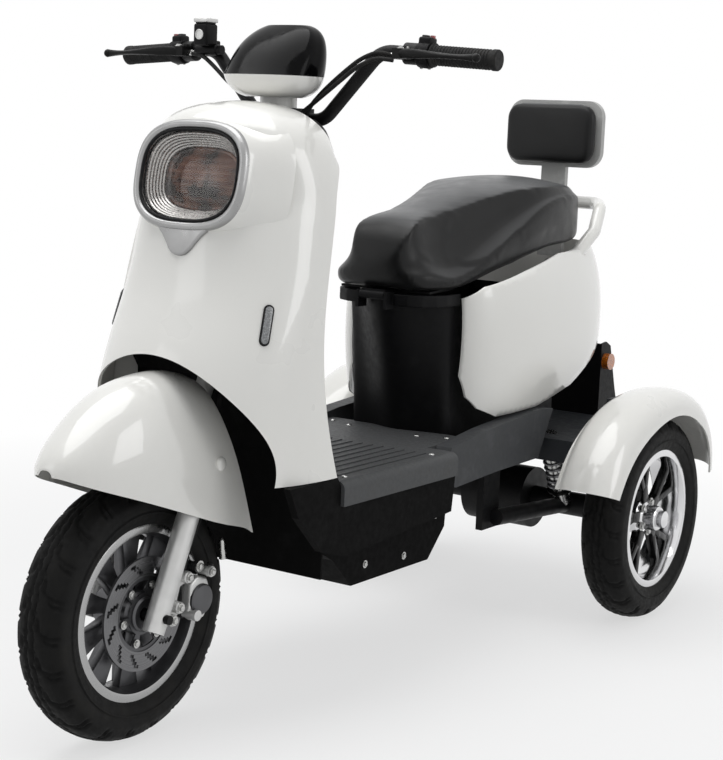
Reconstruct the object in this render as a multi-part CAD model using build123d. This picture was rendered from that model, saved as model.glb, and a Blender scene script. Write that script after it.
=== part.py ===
"""Electric three-wheel scooter, one STEP file per sub-part, in millimetres.

X is the rider's left, Y runs to the rear and Z is up. Shapes are drawn with the front
axle at y = 0 and the ground at z = 0, and each is moved as it is saved, so that the
origin lies on the ground under the middle of the vehicle.
"""
from build123d import *
from math import cos, hypot, pi, radians, sin, tan
import os

# Overall sizes
wheelbase = 1165.0
rear_half_track = 310.0
front_axle_y = -612.0
wall = 4.0
run_fit = 0.05

# Tyres 3.00-10 on cast rims
tyre_radius = 203.0
tyre_width = 88.0
rim_seat_radius = 128.0
rim_lip_radius = 136.0
rim_half_width = 35.0
hub_bore_front = 7.0
hub_bore_rear = 10.0

# Steering: the axis leans back and passes behind the fork legs
rake = 24.3
steer_offset = 30.0
fork_leg_x = 66.5
fork_leg_radius = 17.5
stem_radius = 15.0
steer_back = tan(radians(rake))

# Front body
well_back = 240.0
floor_top = 392.0
skirt_drop = 40.0
floor_half_width = 214.0
battery_bottom = 188.0
lamp_y = 132.0
lamp_z = 858.0
lamp_lean = 11.0
lamp_half_width = 105.0
lamp_half_height = 86.0

# Instrument pod and cables
pod_rim = 1018.0
cable_radius = 3.5

# Seat and rear body
bucket_front = 655.0
bucket_foot_lean = 78.0
bucket_side = 104.0
bucket_floor = 366.0
bucket_top = 640.0
bucket_back = 1150.0
panel_front = 757.0
seat_hinge_y = 643.0
seat_hinge_z = 646.0
hinge_pin_radius = 4.0
deck_top = 360.0
deck_thickness = 4.0

# Mounts
mirror_hole_radius = 3.4
plate_bolt_radius = 3.2
plate_bolt_spacing = 110.0


def save(name, shape):
    """Move a shape from the axle frame to the vehicle frame and write it."""
    placed = Pos(0, front_axle_y, 0) * shape
    placed.label = name
    export_step(placed, f"parts/{name}.step")


def both_sides(shape):
    """A shape with its mirror image across the vehicle's middle plane."""
    return Compound(children=[*shape.solids(), *mirror(shape, Plane.YZ).solids()])


def steer_y(z):
    """Where the steering axis is at a height."""
    return steer_offset + (z - tyre_radius) * steer_back


def leg_point(x, along):
    """A point on the fork leg's line, at a distance above the axle."""
    return Vector(x, along * sin(radians(rake)), tyre_radius + along * cos(radians(rake)))


def rod(start, end, radius):
    """A straight round bar between two points."""
    start = Vector(*start)
    end = Vector(*end)
    return Solid.make_cylinder(radius, (end - start).length, Plane(origin=start, z_dir=end - start))


def block(x0, x1, y0, y1, z0, z1):
    """A box between two corners."""
    return Pos((x0 + x1) / 2, (y0 + y1) / 2, (z0 + z1) / 2) * Box(x1 - x0, y1 - y0, z1 - z0)


def side_profile(points, x0, x1):
    """A plate whose outline is given as (y, z) and which runs from x0 to x1."""
    outline = Polyline([(x0, y, z) for y, z in points], close=True)
    return extrude(make_face(outline), amount=x1 - x0, dir=(1, 0, 0))


def arch_face(row, power, inset=0.0, middle=0.0):
    """A closed arch: a straight base across the vehicle and a curve that stands on it.

    The row gives the base (y, z), the crown (y, z) and the half width.
    """
    base_y, base_z, crown_y, crown_z, half_width = row
    toward = Vector(0, crown_y - base_y, crown_z - base_z)
    depth = toward.length
    half_width = half_width - inset
    base = Vector(middle, base_y, base_z) - toward.normalized() * inset
    plane = Plane(origin=base, x_dir=(1, 0, 0), z_dir=Vector(1, 0, 0).cross(toward))
    curve_points = []
    for step in range(9):
        turn = pi * step / 8
        across = abs(cos(turn)) ** (2 / power) * (1 if turn <= pi / 2 else -1)
        curve_points.append((half_width * across, depth * sin(turn) ** (2 / power)))
    curve = Spline(curve_points, tangents=[(0, 1), (0, -1)])
    return plane * make_face([curve, Line(curve @ 1, curve @ 0)])


def arch_loft(rows, inset=0.0, power=2.2, middle=0.0):
    """Loft of arches. An inset makes the hollow that leaves a wall of that thickness."""
    return loft([arch_face(row, power, inset, middle) for row in rows])


# Front shield: arches that start level at the floor and stand upright at the top
shield_rows = [
    (262, 372, -16, 372, 210),
    (250, 430, 4, 430, 203),
    (240, 530, 24, 530, 190),
    (240, 625, 64, 625, 184),
    (254, 715, 103, 715, 179),
    (273, 800, 124, 808, 173),
    (282, 836, 140, 900, 168),
    (292, 858, 154, 950, 163),
    (300, 874, 190, 970, 158),
    (303, 886, 240, 976, 152),
    (306, 894, 284, 975, 144),
]
# Legshield: the same edge, arched to the rear around the steering head
leg_rows = [
    (250, 385, 318, 385, 206),
    (234, 500, 322, 500, 191),
    (230, 625, 342, 625, 181.5),
    (247, 740, 378, 740, 174.5),
    (265, 830, 402, 830, 167.5),
    (286, 900, 412, 900, 146),
    (296, 972, 396, 972, 80),
]


def lamp_plane(forward):
    """Plane of the headlamp, moved forward along the way it looks."""
    look = Vector(0, -cos(radians(lamp_lean)), sin(radians(lamp_lean)))
    return Plane(origin=Vector(0, lamp_y, lamp_z) + look * forward, x_dir=(1, 0, 0), z_dir=look)


def lamp_outline(inset):
    """Rounded lamp outline, smaller by an inset."""
    half_width = lamp_half_width - inset
    half_height = lamp_half_height - inset
    points = []
    for step in range(16):
        turn = 2 * pi * step / 16
        across = abs(cos(turn)) ** (2 / 2.9) * (1 if cos(turn) > 0 else -1)
        up = abs(sin(turn)) ** (2 / 2.9) * (1 if sin(turn) > 0 else -1)
        points.append((half_width * across, half_height * up))
    return make_face(Spline(points, periodic=True))


def lamp_prism(inset, back, front):
    """Solid with the lamp's outline between two depths."""
    return extrude(lamp_plane(back) * lamp_outline(inset), amount=front - back, dir=lamp_plane(0).z_dir)


def steering_bore(radius, z0, z1):
    """Cylinder along the steering axis."""
    return rod((0, steer_y(z0), z0), (0, steer_y(z1), z1), radius)


def front_shield():
    """White front shield with the lamp opening and the wheel arch cut."""
    shell = arch_loft(shield_rows) - arch_loft(shield_rows, wall)
    shell -= block(-300, 300, -200, 400, 300, 400)
    shell -= lamp_prism(9, -60, 60)
    arch = Plane.XZ * Pos(0, 398) * Ellipse(185, 192)
    return shell - extrude(Pos(0, 170, 0) * arch, amount=300, dir=(0, -1, 0))


def legshield():
    """Black inner cover between the shield's edges, around the steering head."""
    under = [(150, 394), (150, 1000), (272, 984), (286, 964), (330, 922), (440, 910), (440, 394)]
    outside = arch_loft(leg_rows, power=1.45) & side_profile(under, -300, 300)
    lower = [(y, z - wall) for y, z in under]
    inside = arch_loft(leg_rows, wall, power=1.45) & side_profile(lower, -300, 300)
    shell = outside - inside - arch_loft(shield_rows)
    shell -= steering_bore(46, 860, 960)
    return shell.solids().sort_by(SortBy.VOLUME)[-1]


def headlamp_bezel():
    lip = lamp_prism(0, -30, 14) - lamp_prism(9, -40, 20)
    tab = lamp_plane(-20) * Pos(0, -lamp_half_height - 8) * RegularPolygon(26, 3, rotation=30)
    lip += extrude(tab, amount=33, dir=lamp_plane(0).z_dir) - lamp_prism(9, -40, 20)
    lip -= arch_loft(shield_rows)
    return lip + (lamp_prism(9, -24, 14) - lamp_prism(17, -40, 20))


def headlamp_reflector():
    return lamp_prism(18, -40, 2) - lamp_prism(24, -36, 3)


def headlamp_lens():
    return lamp_prism(17.5, 4, 12)


def shield_reflectors():
    plane = Plane(origin=(147.2, 139.9, 641), x_dir=(-1.4, 13.8, 54.8), z_dir=(0.67, -0.72, 0.2))
    capsule = plane * SlotOverall(66, 15)
    bar = extrude(capsule, amount=5, both=True)
    return both_sides(bar - arch_loft(shield_rows))


def wheel_well():
    """Black liner behind and above the front wheel."""
    inner = [(well_back, 236), (well_back, 430), (226, 535), (180, 596), (70, 618)]
    outer = [(72, 624), (184, 602), (231, 539), (well_back + wall, 432), (well_back + wall, 236)]
    liner = side_profile(inner + outer, -193, 193)
    liner -= steering_bore(46, 500, 700)
    return liner - (block(-300, 300, -100, 246, 400, 700) - arch_loft(shield_rows, wall + 1))


def lower_fairings():
    """Black side panels under the shield and the floor."""
    outline = [(134, 399), (158, 350), (222, 286), (285, 268), (420, 276), (606, 288), (614, 352), (320, 352), (284, 356), (258, 399)]
    return both_sides(side_profile(outline, 194, 207))


def floor_board():
    """Flat floor with ribs along it and a skirt down each side."""
    top = floor_top
    tray = block(-floor_half_width, floor_half_width, 268, 610, top - skirt_drop, top)
    tray = fillet(tray.edges().filter_by(Axis.Y).group_by(Axis.Z)[-1], 14)
    tray -= block(-194, 194, 200, 700, top - skirt_drop - 1, top - 6)
    tray += block(-149, 149, 604, 745, top - 12, top)
    for number in range(-8, 9):
        tray += block(number * 22 - 3, number * 22 + 3, 300, 560, top - 0.5, top + 2)
    return tray


def rear_side_covers():
    """Black covers beside the seat bucket, from the floor back to the deck."""
    outline = [(612, 348), (640, 392), (760, 408), (960, 424), (1010, 420), (960, 330), (800, 326), (660, 318)]
    return both_sides(side_profile(outline, 150, 182))


def belly_pan():
    """Battery tray under the floor."""
    outline = [(300, 262), (345, 238), (400, 184), (640, 184), (692, 236), (700, 330), (300, 330)]
    outside = side_profile(outline, -142, 142)
    inside = [(304, 266), (350, 242), (404, battery_bottom), (636, battery_bottom), (686, 240), (694, 331), (304, 331)]
    return outside - side_profile(inside, -138, 138) + block(-138, 138, 304, 340, 324, 330)


def battery():
    return block(-120, 120, 420, 630, battery_bottom, 336)


def main_frame():
    """Steering head, down tube, floor rails and the rear loop."""
    head = steering_bore(26, 640, 900)
    down = rod((0, steer_y(680), 680), (0, 272, 400), 20)
    drop = rod((0, 272, 400), (0, 325, 345), 20)
    frame = head + down + drop
    frame += block(-110, 110, 305, 345, 330, 350)
    for side in (-1, 1):
        x0, x1 = sorted((side * 80, side * 110))
        frame += block(x0, x1, 305, 1000, 336, 366)
        frame += block(x0, x1, 985, 1330, 318, 356)
        x0, x1 = sorted((side * 104, side * 118))
        frame += block(x0, x1, 870, 930, 192, 340)
    frame += block(-150, 150, 690, 720, 336, 366)
    frame += block(-150, 150, 960, 1000, 330, 366)
    frame += block(-110, 110, 1300, 1330, 318, 356)
    return frame - steering_bore(stem_radius + run_fit, 600, 950)


def bucket_outline(inset, lean):
    """Plan of the seat bucket: a bowed front, moved back by a lean, and straight sides."""
    side = bucket_side - inset
    front = bucket_front + inset + lean
    back = bucket_back - inset
    bend = front + 0.45 * (panel_front - front)
    bow_points = [(side, panel_front), (side * 0.74, bend), (0, front), (-side * 0.74, bend), (-side, panel_front)]
    bow = Spline(bow_points, tangents=[(0, -1), (0, 1)])
    rest = Polyline([(-side, panel_front), (-side, back), (side, back), (side, panel_front)])
    return make_face([bow, *rest.edges()])


def bucket_block(inset, bottom, top):
    """Solid inside the bucket's leaning front, between two heights."""
    faces = []
    for height in (bottom, top):
        lean = bucket_foot_lean * (bucket_top - height) / (bucket_top - bucket_floor)
        faces.append(Pos(0, 0, height) * bucket_outline(inset, lean))
    return loft(faces, ruled=True)


def bucket_outside():
    return bucket_block(0, bucket_floor, bucket_top)


def seat_bucket():
    """Black storage bucket that carries the seat, open at the top."""
    outside = bucket_outside()
    inside = bucket_block(wall, bucket_floor + wall, bucket_top)
    bucket = outside - inside
    for side in (-1, 1):
        x0, x1 = sorted((side * 27, side * 33))
        bucket += block(x0, x1, seat_hinge_y - 7, bucket_front + 8, 622, seat_hinge_z + 7)
    return bucket + rod((-33, seat_hinge_y, seat_hinge_z), (33, seat_hinge_y, seat_hinge_z), hinge_pin_radius)


def panel_plan(z, grow, inset):
    """Plan of the rear body at a height: full sides that close round the tail."""
    side = [(110, 752), (150, 776), (176, 840), (186, 940), (182, 1060), (166, 1190), (118, 1306), (0, 1354)]
    half = [((x + grow - inset) if x else 0, y + (0.3 * grow if y > 1200 else 0) - (inset if y > 1280 else 0)) for x, y in side]
    points = half + [(-x, y) for x, y in reversed(half[:-1])]
    curve = Spline(points)
    return Pos(0, 0, z) * make_face([curve, Line(curve @ 1, curve @ 0)])


def panel_shell():
    """Both side panels before they are parted."""
    levels = [(400, -26), (470, -8), (560, 0), (640, -4), (735, -34)]
    outer = loft([panel_plan(z, grow, 0) for z, grow in levels])
    inner = loft([panel_plan(z, grow, wall) for z, grow in levels])
    edge = [(757, 642), (757, 432), (790, 419), (965, 428), (1105, 456), (1215, 500), (1300, 552)]
    edge += [(1380, 600), (1380, 728), (1042, 716), (900, 690), (786, 664)]
    return (outer - inner) & side_profile(edge, -250, 250)


def side_panel(side):
    half = block(0.3, 260, 600, 1500, 300, 900)
    return panel_shell() & (half if side > 0 else mirror(half, Plane.YZ))


seat_rows = [
    (640, 676, 640, 722, 54),
    (650, 662, 650, 748, 84),
    (672, 660, 672, 775, 104),
    (720, 660, 720, 792, 120),
    (757, 662, 757, 800, 128),
    (800, 674, 800, 812, 136),
    (860, 690, 860, 828, 142),
    (950, 708, 950, 846, 148),
    (1042, 726, 1042, 856, 150),
    (1130, 734, 1130, 860, 144),
    (1186, 741, 1186, 854, 124),
    (1223, 752, 1223, 836, 102),
    (1240, 764, 1240, 812, 82),
]


def seat_cushion():
    return arch_loft(seat_rows, power=2.8)


def seat_base():
    """Pan under the cushion, with the hinge leaf at the nose."""
    top = [(680, 656), (757, 660), (860, 688), (1042, 724), (1200, 740)]
    outline = top + [(y, z - wall) for y, z in reversed(top)]
    pan = side_profile(outline, -96, 96) + block(-25, 25, seat_hinge_y, 690, 652, 656)
    pan += rod((-26, seat_hinge_y, seat_hinge_z), (26, seat_hinge_y, seat_hinge_z), hinge_pin_radius + 4)
    return pan - rod((-30, seat_hinge_y, seat_hinge_z), (30, seat_hinge_y, seat_hinge_z), hinge_pin_radius + run_fit)


def grab_rail():
    """White loop behind the seat."""
    points = [(120, 1075, 690), (138, 1150, 706), (144, 1215, 752), (130, 1262, 796), (98, 1316, 804), (0, 1334, 804)]
    path = FilletPolyline([Vector(*p) for p in points], radius=[60, 30, 30, 40])
    half = sweep(Plane(origin=path @ 0, z_dir=path % 0) * Circle(13), path=path)
    return half + mirror(half, Plane.YZ)


def backrest_frame():
    post = block(-28, 28, 1297, 1310, 690, 930) + block(-28, 28, 1297, 1326, 786, 818)
    shell = Pos(0, 1300, 944) * Box(217, 14, 136)
    shell = fillet(shell.edges().filter_by(Axis.Y), 34)
    return post + shell


def backrest_pad():
    pad = Pos(0, 1277, 944) * Box(212, 32, 130)
    pad = fillet(pad.edges().filter_by(Axis.Y), 34)
    return fillet(pad.edges().group_by(Axis.Y)[0], 12)


def rear_deck():
    deck = block(-246, 246, 1012, 1330, deck_top - deck_thickness, deck_top)
    deck += block(-246, 246, 1326, 1330, deck_top - 44, deck_top)
    for side in (-1, 1):
        x0, x1 = sorted((side * 246, side * 253))
        deck += block(x0, x1, 1110, 1220, deck_top - deck_thickness, 436)
    deck += block(-246, 246, 1012, 1016, deck_top - 44, deck_top)
    return deck


def tail_bracket():
    outline = [(1330, 352), (1428, 345), (1400, 420), (1372, 505), (1352, 515), (1330, 512)]
    plates = side_profile(outline, 116, 120) + side_profile(outline, -120, -116)
    plates += block(-118, 118, 1330, 1334, 352, 512)
    for x in (-plate_bolt_spacing / 2, plate_bolt_spacing / 2):
        plates -= rod((x, 1320, 430), (x, 1342, 430), plate_bolt_radius)
    return plates


def turn_signals():
    return both_sides(rod((120, 1350, 474), (134, 1350, 474), 17))


def tail_lamp():
    return block(-80, 80, 1334, 1352, 462, 500)


# Rear fender, seen from the side: crown (y, z) and how far its edge is from the axle
fender_crowns = [
    (880, 296, 256),
    (915, 356, 244),
    (975, 412, 228),
    (1060, 446, 214),
    (1165, 458, 209),
    (1265, 446, 209),
    (1335, 404, 210),
    (1368, 346, 202),
    (1378, 292, 186),
]


def rear_fender(side):
    """White rear fender: arches fanned about the wheel, hollow below."""
    rows = []
    for crown_y, crown_z, reach in fender_crowns:
        away = hypot(crown_y - wheelbase, crown_z - tyre_radius)
        base_y = wheelbase + (crown_y - wheelbase) * reach / away
        base_z = tyre_radius + (crown_z - tyre_radius) * reach / away
        rows.append((base_y, base_z, crown_y, crown_z, 62))
    shell = arch_loft(rows, power=2.4) - arch_loft(rows, 3.5, power=2.4)
    return Pos(side * 314, 0, 0) * (shell if side > 0 else mirror(shell, Plane.YZ))


def rear_axle():
    """Axle tube with the motor in the middle and a stub shaft for each wheel."""
    axle = rod((-252, wheelbase, tyre_radius), (252, wheelbase, tyre_radius), 24)
    axle += rod((-70, wheelbase, tyre_radius), (70, wheelbase, tyre_radius), 62)
    axle += rod((-346, wheelbase, tyre_radius), (346, wheelbase, tyre_radius), hub_bore_rear)
    for side in (-1, 1):
        axle += rod((side * 150, wheelbase, tyre_radius), (side * 130, 900, 215), 16)
        axle += rod((side * 252, wheelbase, tyre_radius), (side * 262, wheelbase, tyre_radius), 60)
    return axle


def rear_shocks():
    return both_sides(rod((150, 1134, 212), (150, 1058, 358), 17))


def wheel_tyre(x, y):
    """Tyre with a round shoulder, seated between the rim's lips."""
    seat = rim_half_width - 4
    profile = Polyline([(-seat, rim_lip_radius + 1), (-seat, rim_seat_radius), (seat, rim_seat_radius), (seat, rim_lip_radius + 1)])
    right = Spline([(seat, rim_lip_radius + 1), (tyre_width / 2, 162), (38, 190), (0, tyre_radius)], tangents=[(1, 0.6), (-1, 0)])
    left = mirror(right, Plane.YZ)
    face = make_face([*profile.edges(), right.edge(), left.edge()])
    return wheel_place(x, y) * revolve(face, Axis.X)


def wheel_place(x, y):
    """Place of a wheel drawn about the X axis."""
    return Pos(x, y, tyre_radius)


def wheel_rim(x, y, bore, hub_radius, hub_half, spokes, spoke_width):
    """Cast rim: a barrel with lips, a hub and evenly spaced spokes."""
    outline = [
        (-rim_half_width, rim_lip_radius), (-rim_half_width + 4, rim_lip_radius), (-rim_half_width + 4, rim_seat_radius),
        (rim_half_width - 4, rim_seat_radius), (rim_half_width - 4, rim_lip_radius), (rim_half_width, rim_lip_radius),
        (rim_half_width, 124), (20, 118), (-20, 118), (-rim_half_width, 124),
    ]
    barrel = revolve(make_face(Polyline(outline, close=True)), Axis.X)
    rim = barrel + Rot(0, 90, 0) * Cylinder(hub_radius, 2 * hub_half)
    for number in range(spokes):
        spoke = block(-9, 9, -spoke_width / 2, spoke_width / 2, hub_radius - 5, 120)
        rim += Rot(360 * number / spokes, 0, 0) * spoke
    rim -= Rot(0, 90, 0) * Cylinder(bore + run_fit, 200)
    return wheel_place(x, y) * rim


def brake_disc():
    disc = Rot(0, 90, 0) * (Cylinder(88, 4) - Cylinder(30, 10))
    return wheel_place(38, 0) * disc


def fork():
    """Two legs, the crown that joins them and the steering stem."""
    body = None
    for side in (-1, 1):
        leg = rod(leg_point(side * fork_leg_x, -24), leg_point(side * fork_leg_x, 240), fork_leg_radius)
        body = leg if body is None else body + leg
    crown_plane = Plane(origin=leg_point(0, 232), x_dir=(1, 0, 0), z_dir=leg_point(0, 1) - leg_point(0, 0))
    crown = extrude(crown_plane * Pos(0, 12) * RectangleRounded(160, 58, 20), amount=28)
    body += crown
    body += rod((0, steer_y(426), 426), (0, steer_y(960), 960), stem_radius)
    body += rod(leg_point(-92, 244) + Vector(0, 12, 0), leg_point(92, 244) + Vector(0, 12, 0), 7)
    body -= rod((-100, 0, tyre_radius), (100, 0, tyre_radius), hub_bore_front)
    return body


def front_axle():
    return rod((-92, 0, tyre_radius), (92, 0, tyre_radius), hub_bore_front)


def front_fender():
    """White teardrop fender over the front wheel."""
    rows = [
        (-172, 434, -172, 446, 16),
        (-160, 430, -160, 464, 34),
        (-136, 420, -136, 486, 54),
        (-100, 407, -100, 514, 71),
        (-59, 393, -59, 540, 83),
        (0, 372, 0, 560, 92),
        (61, 350, 61, 564, 94),
        (120, 330, 120, 552, 95),
        (190, 305, 190, 530, 95),
    ]
    shell = arch_loft(rows, power=2.3) - arch_loft(rows, 3, power=2.3)
    back = side_profile([(112, 580), (192, 300), (400, 300), (400, 580)], -120, 120)
    shell -= back
    return shell


def brake_caliper():
    body = block(28, 60, 42, 98, 206, 258) + block(44, 74, 14, 50, 216, 246)
    slot = wheel_place(38, 0) * Rot(0, 90, 0) * Cylinder(90, 7)
    return body - slot


def handlebar():
    """High bar with its clamp on the stem."""
    points = [(-374, 400.4, 1050.6), (-168, 388, 1062), (-66, 382, 950), (66, 382, 950), (168, 388, 1062), (374, 400.4, 1050.6)]
    path = FilletPolyline([Vector(*p) for p in points], radius=[46, 40, 40, 46])
    bar = sweep(Plane(origin=path @ 0, z_dir=path % 0) * Circle(11), path=path)
    clamp = block(-34, 34, 346, 398, 931, 968)
    return bar + clamp - steering_bore(stem_radius, 900, 1000)


def hand_grips():
    """Rubber grips round the ends of the bar."""
    grip = rod((262, 393.6, 1057), (378, 400.6, 1050.4), 16)
    core = rod((168, 388, 1062), (374, 400.4, 1050.6), 11)
    return both_sides(grip - core)


def brake_levers():
    """Blade and perch of each brake lever, clamped on the bar beside the grip."""
    perch = rod((214, 391, 1059), (236, 392.6, 1058), 17)
    perch += block(212, 238, 352, 385, 1049, 1065)
    perch -= rod((168, 388, 1062), (374, 400.4, 1050.6), 11)
    perch -= rod((219, 372, 1040), (219, 372, 1070), mirror_hole_radius)
    points = [(225, 356, 1057), (262, 344, 1056), (320, 342, 1053), (372, 341, 1051)]
    path = Spline([Vector(*p) for p in points])
    blade = loft([Plane(origin=path @ at, z_dir=path % at) * Ellipse(4, 7) for at in (0, 0.3, 0.7, 1)])
    return both_sides(perch + blade)


def master_cylinder():
    """Upright brake fluid reservoir on the right end of the bar."""
    return block(-182, -152, 342, 374, 1066, 1112) + block(-176, -158, 360, 392, 1054, 1080)


def switch_housing():
    """Switch housings beside the left and right grips."""
    core = rod((168, 388, 1062), (374, 400.4, 1050.6), 11)
    housing = rod((242, 393, 1057.6), (260, 394.4, 1056.4), 21)
    return both_sides(housing - core)


def pod_face(z, front, back, half_width):
    """Rounded level outline of the instrument pod."""
    points = []
    for step in range(16):
        turn = 2 * pi * step / 16
        across = abs(cos(turn)) ** (2 / 2.5) * (1 if cos(turn) > 0 else -1)
        along = abs(sin(turn)) ** (2 / 2.5) * (1 if sin(turn) > 0 else -1)
        points.append((half_width * across, (front + back) / 2 + along * (back - front) / 2))
    return Pos(0, 0, z) * make_face(Spline(points, periodic=True))


def display_cowl():
    """White bowl of the instrument pod and the neck that stands on the bar clamp."""
    bowl = loft([pod_face(*row) for row in ((984, 294, 374, 46), (999, 273, 392, 72), (pod_rim, 266, 396, 82))])
    return bowl + Pos(0, 346, 978) * Cylinder(30, 20)


def display_visor():
    """Black upper cover of the instrument pod, sloped back from its rim."""
    rows = ((pod_rim, 266, 396, 82), (1045, 286, 400, 80), (1075, 314, 400, 71), (1094, 340, 394, 53), (1100, 350, 386, 39))
    return loft([pod_face(*row) for row in rows])


def cord(points, radius):
    """Round cord along straight runs joined by arcs as large as the runs allow."""
    stops = [Vector(*point) for point in points]
    radii = []
    for before, here, after in zip(stops, stops[1:], stops[2:]):
        turn = (here - before).get_angle(after - here)
        run = min((here - before).length, (after - here).length)
        radii.append(0.45 * run / tan(radians(turn / 2)))
    path = FilletPolyline(stops, radius=radii)
    return sweep(Plane(origin=path @ 0, z_dir=path % 0) * Circle(radius), path=path)


def control_cables(bar):
    """Cables from the levers and switches, down in front of the stem into the cover."""
    left = [(206, 371, 1054), (176, 366, 1060), (146, 362, 1048), (110, 360, 1022), (76, 362, 996), (52, 364, 974)]
    left += [(42, 360, 950), (36, 352, 914)]
    outer = [(206, 366, 1047), (178, 358, 1050), (148, 352, 1036), (112, 348, 1008), (76, 348, 982), (46, 346, 960)]
    outer += [(31, 338, 938), (27, 334, 914)]
    right = [(-206, 371, 1054), (-176, 364, 1050), (-146, 358, 1032), (-110, 356, 1004), (-76, 358, 984)]
    right += [(-52, 358, 964), (-42, 354, 942), (-36, 346, 914)]
    cords = [cord(points, cable_radius) - bar for points in (left, outer, right)]
    return Compound(children=cords)


def brake_hose():
    """Brake hose from the cover down behind the left fork leg to the caliper."""
    points = [(36, 172, 520), (42, 160, 478), (52, 148, 440), (60, 132, 402), (64, 112, 366), (64, 92, 332), (60, 78, 298), (54, 72, 258)]
    return cord(points, cable_radius)


def build_all():
    frame = main_frame()
    inner_cover = legshield()
    bucket = seat_bucket()
    rail = grab_rail()
    save("front_shield", front_shield())
    save("legshield", inner_cover - frame)
    save("headlamp_bezel", headlamp_bezel())
    save("headlamp_reflector", headlamp_reflector())
    save("headlamp_lens", headlamp_lens())
    save("shield_reflectors", shield_reflectors())
    save("wheel_well", wheel_well() - inner_cover - frame)
    board = floor_board() - frame - inner_cover - bucket_outside()
    save("lower_fairings", lower_fairings() - board - inner_cover)
    save("floor_board", board)
    save("rear_side_covers", rear_side_covers())
    save("belly_pan", belly_pan() - frame)
    save("battery", battery())
    save("main_frame", frame)
    save("seat_bucket", bucket)
    save("side_panel_left", side_panel(1) - bucket - rail)
    save("side_panel_right", side_panel(-1) - bucket - rail)
    save("seat_cushion", seat_cushion())
    save("seat_base", seat_base())
    save("grab_rail", rail)
    save("backrest_frame", backrest_frame() - rail)
    save("backrest_pad", backrest_pad())
    fender_left = rear_fender(1)
    fender_right = rear_fender(-1)
    deck = rear_deck() - frame - fender_left - fender_right
    axle = rear_axle() - frame
    save("rear_deck", deck)
    save("tail_bracket", tail_bracket())
    save("turn_signals", turn_signals())
    save("tail_lamp", tail_lamp())
    save("rear_fender_left", fender_left)
    save("rear_fender_right", fender_right)
    save("rear_axle", axle)
    save("rear_shocks", rear_shocks() - axle - deck)
    save("front_tyre", wheel_tyre(0, 0))
    save("front_rim", wheel_rim(0, 0, hub_bore_front, 30, 42, 10, 16))
    save("brake_disc", brake_disc())
    for side, word in ((1, "left"), (-1, "right")):
        x = side * rear_half_track
        save(f"rear_tyre_{word}", wheel_tyre(x, wheelbase))
        save(f"rear_rim_{word}", wheel_rim(x, wheelbase, hub_bore_rear, 36, 40, 5, 30))
    fender = front_fender()
    hose = brake_hose()
    legs = fork() - fender - hose
    bar = handlebar()
    save("fork", legs)
    save("front_axle", front_axle())
    save("front_fender", fender)
    caliper = brake_caliper() - legs
    save("brake_caliper", caliper)
    save("handlebar", bar)
    save("hand_grips", hand_grips())
    save("brake_levers", brake_levers())
    save("master_cylinder", master_cylinder() - bar)
    save("switch_housing", switch_housing())
    save("display_cowl", display_cowl())
    save("display_visor", display_visor())
    save("control_cables", control_cables(bar))
    save("brake_hose", hose - caliper)


os.makedirs("parts", exist_ok=True)
build_all()
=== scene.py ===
"""Finish of the electric three-wheel scooter: tyres, wheels, upholstery, lamps, controls and stage."""

from math import atan2, cos, hypot, pi, radians, sin

import bmesh
import bpy
from bpy.props import FloatProperty, FloatVectorProperty, IntProperty, PointerProperty
from mathutils import Matrix, Vector
from mathutils.bvhtree import BVHTree


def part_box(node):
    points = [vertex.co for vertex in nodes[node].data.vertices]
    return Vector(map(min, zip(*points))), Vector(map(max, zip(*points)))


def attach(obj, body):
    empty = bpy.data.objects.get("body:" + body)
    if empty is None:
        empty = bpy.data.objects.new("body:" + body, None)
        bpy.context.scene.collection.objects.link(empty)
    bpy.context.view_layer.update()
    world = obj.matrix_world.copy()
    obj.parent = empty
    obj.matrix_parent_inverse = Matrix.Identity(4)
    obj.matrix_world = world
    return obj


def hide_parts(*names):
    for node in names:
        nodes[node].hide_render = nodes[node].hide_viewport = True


bl_info = {
    "name": "Electric three-wheel scooter",
    "version": (1, 0, 0),
    "blender": (4, 5, 0),
    "location": "3D View > Sidebar > Scooter",
    "description": "Builds the visible finish of a three-wheel scooter round its fixed frame",
    "category": "Object",
}

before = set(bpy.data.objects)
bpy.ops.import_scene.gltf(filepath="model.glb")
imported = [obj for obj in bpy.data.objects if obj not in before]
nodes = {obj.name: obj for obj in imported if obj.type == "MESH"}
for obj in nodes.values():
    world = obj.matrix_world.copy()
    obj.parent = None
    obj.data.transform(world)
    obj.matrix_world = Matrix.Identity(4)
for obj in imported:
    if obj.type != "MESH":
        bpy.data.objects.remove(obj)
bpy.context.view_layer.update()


def middle(node):
    low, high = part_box(node)
    return (low + high) / 2


def size(node):
    low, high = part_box(node)
    return high - low


FRONT_WHEEL = middle("front_tyre")
REAR_WHEELS = {"left": middle("rear_tyre_left"), "right": middle("rear_tyre_right")}
TYRE_RADIUS = size("front_tyre").z / 2

# Millimetres: the front axle lies this far in front of the origin, and these tops this far above the floor
AXLE_SETBACK = 612.0
FLOOR_TOP = 392.4
DECK_TOP = 360.0


# ---------------------------------------------------------------- sizes and colours

def colour(name, description, default):
    """A colour setting of the panel."""
    return FloatVectorProperty(name=name, description=description, subtype="COLOR", size=3, default=default,
                               min=0, max=1)


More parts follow.
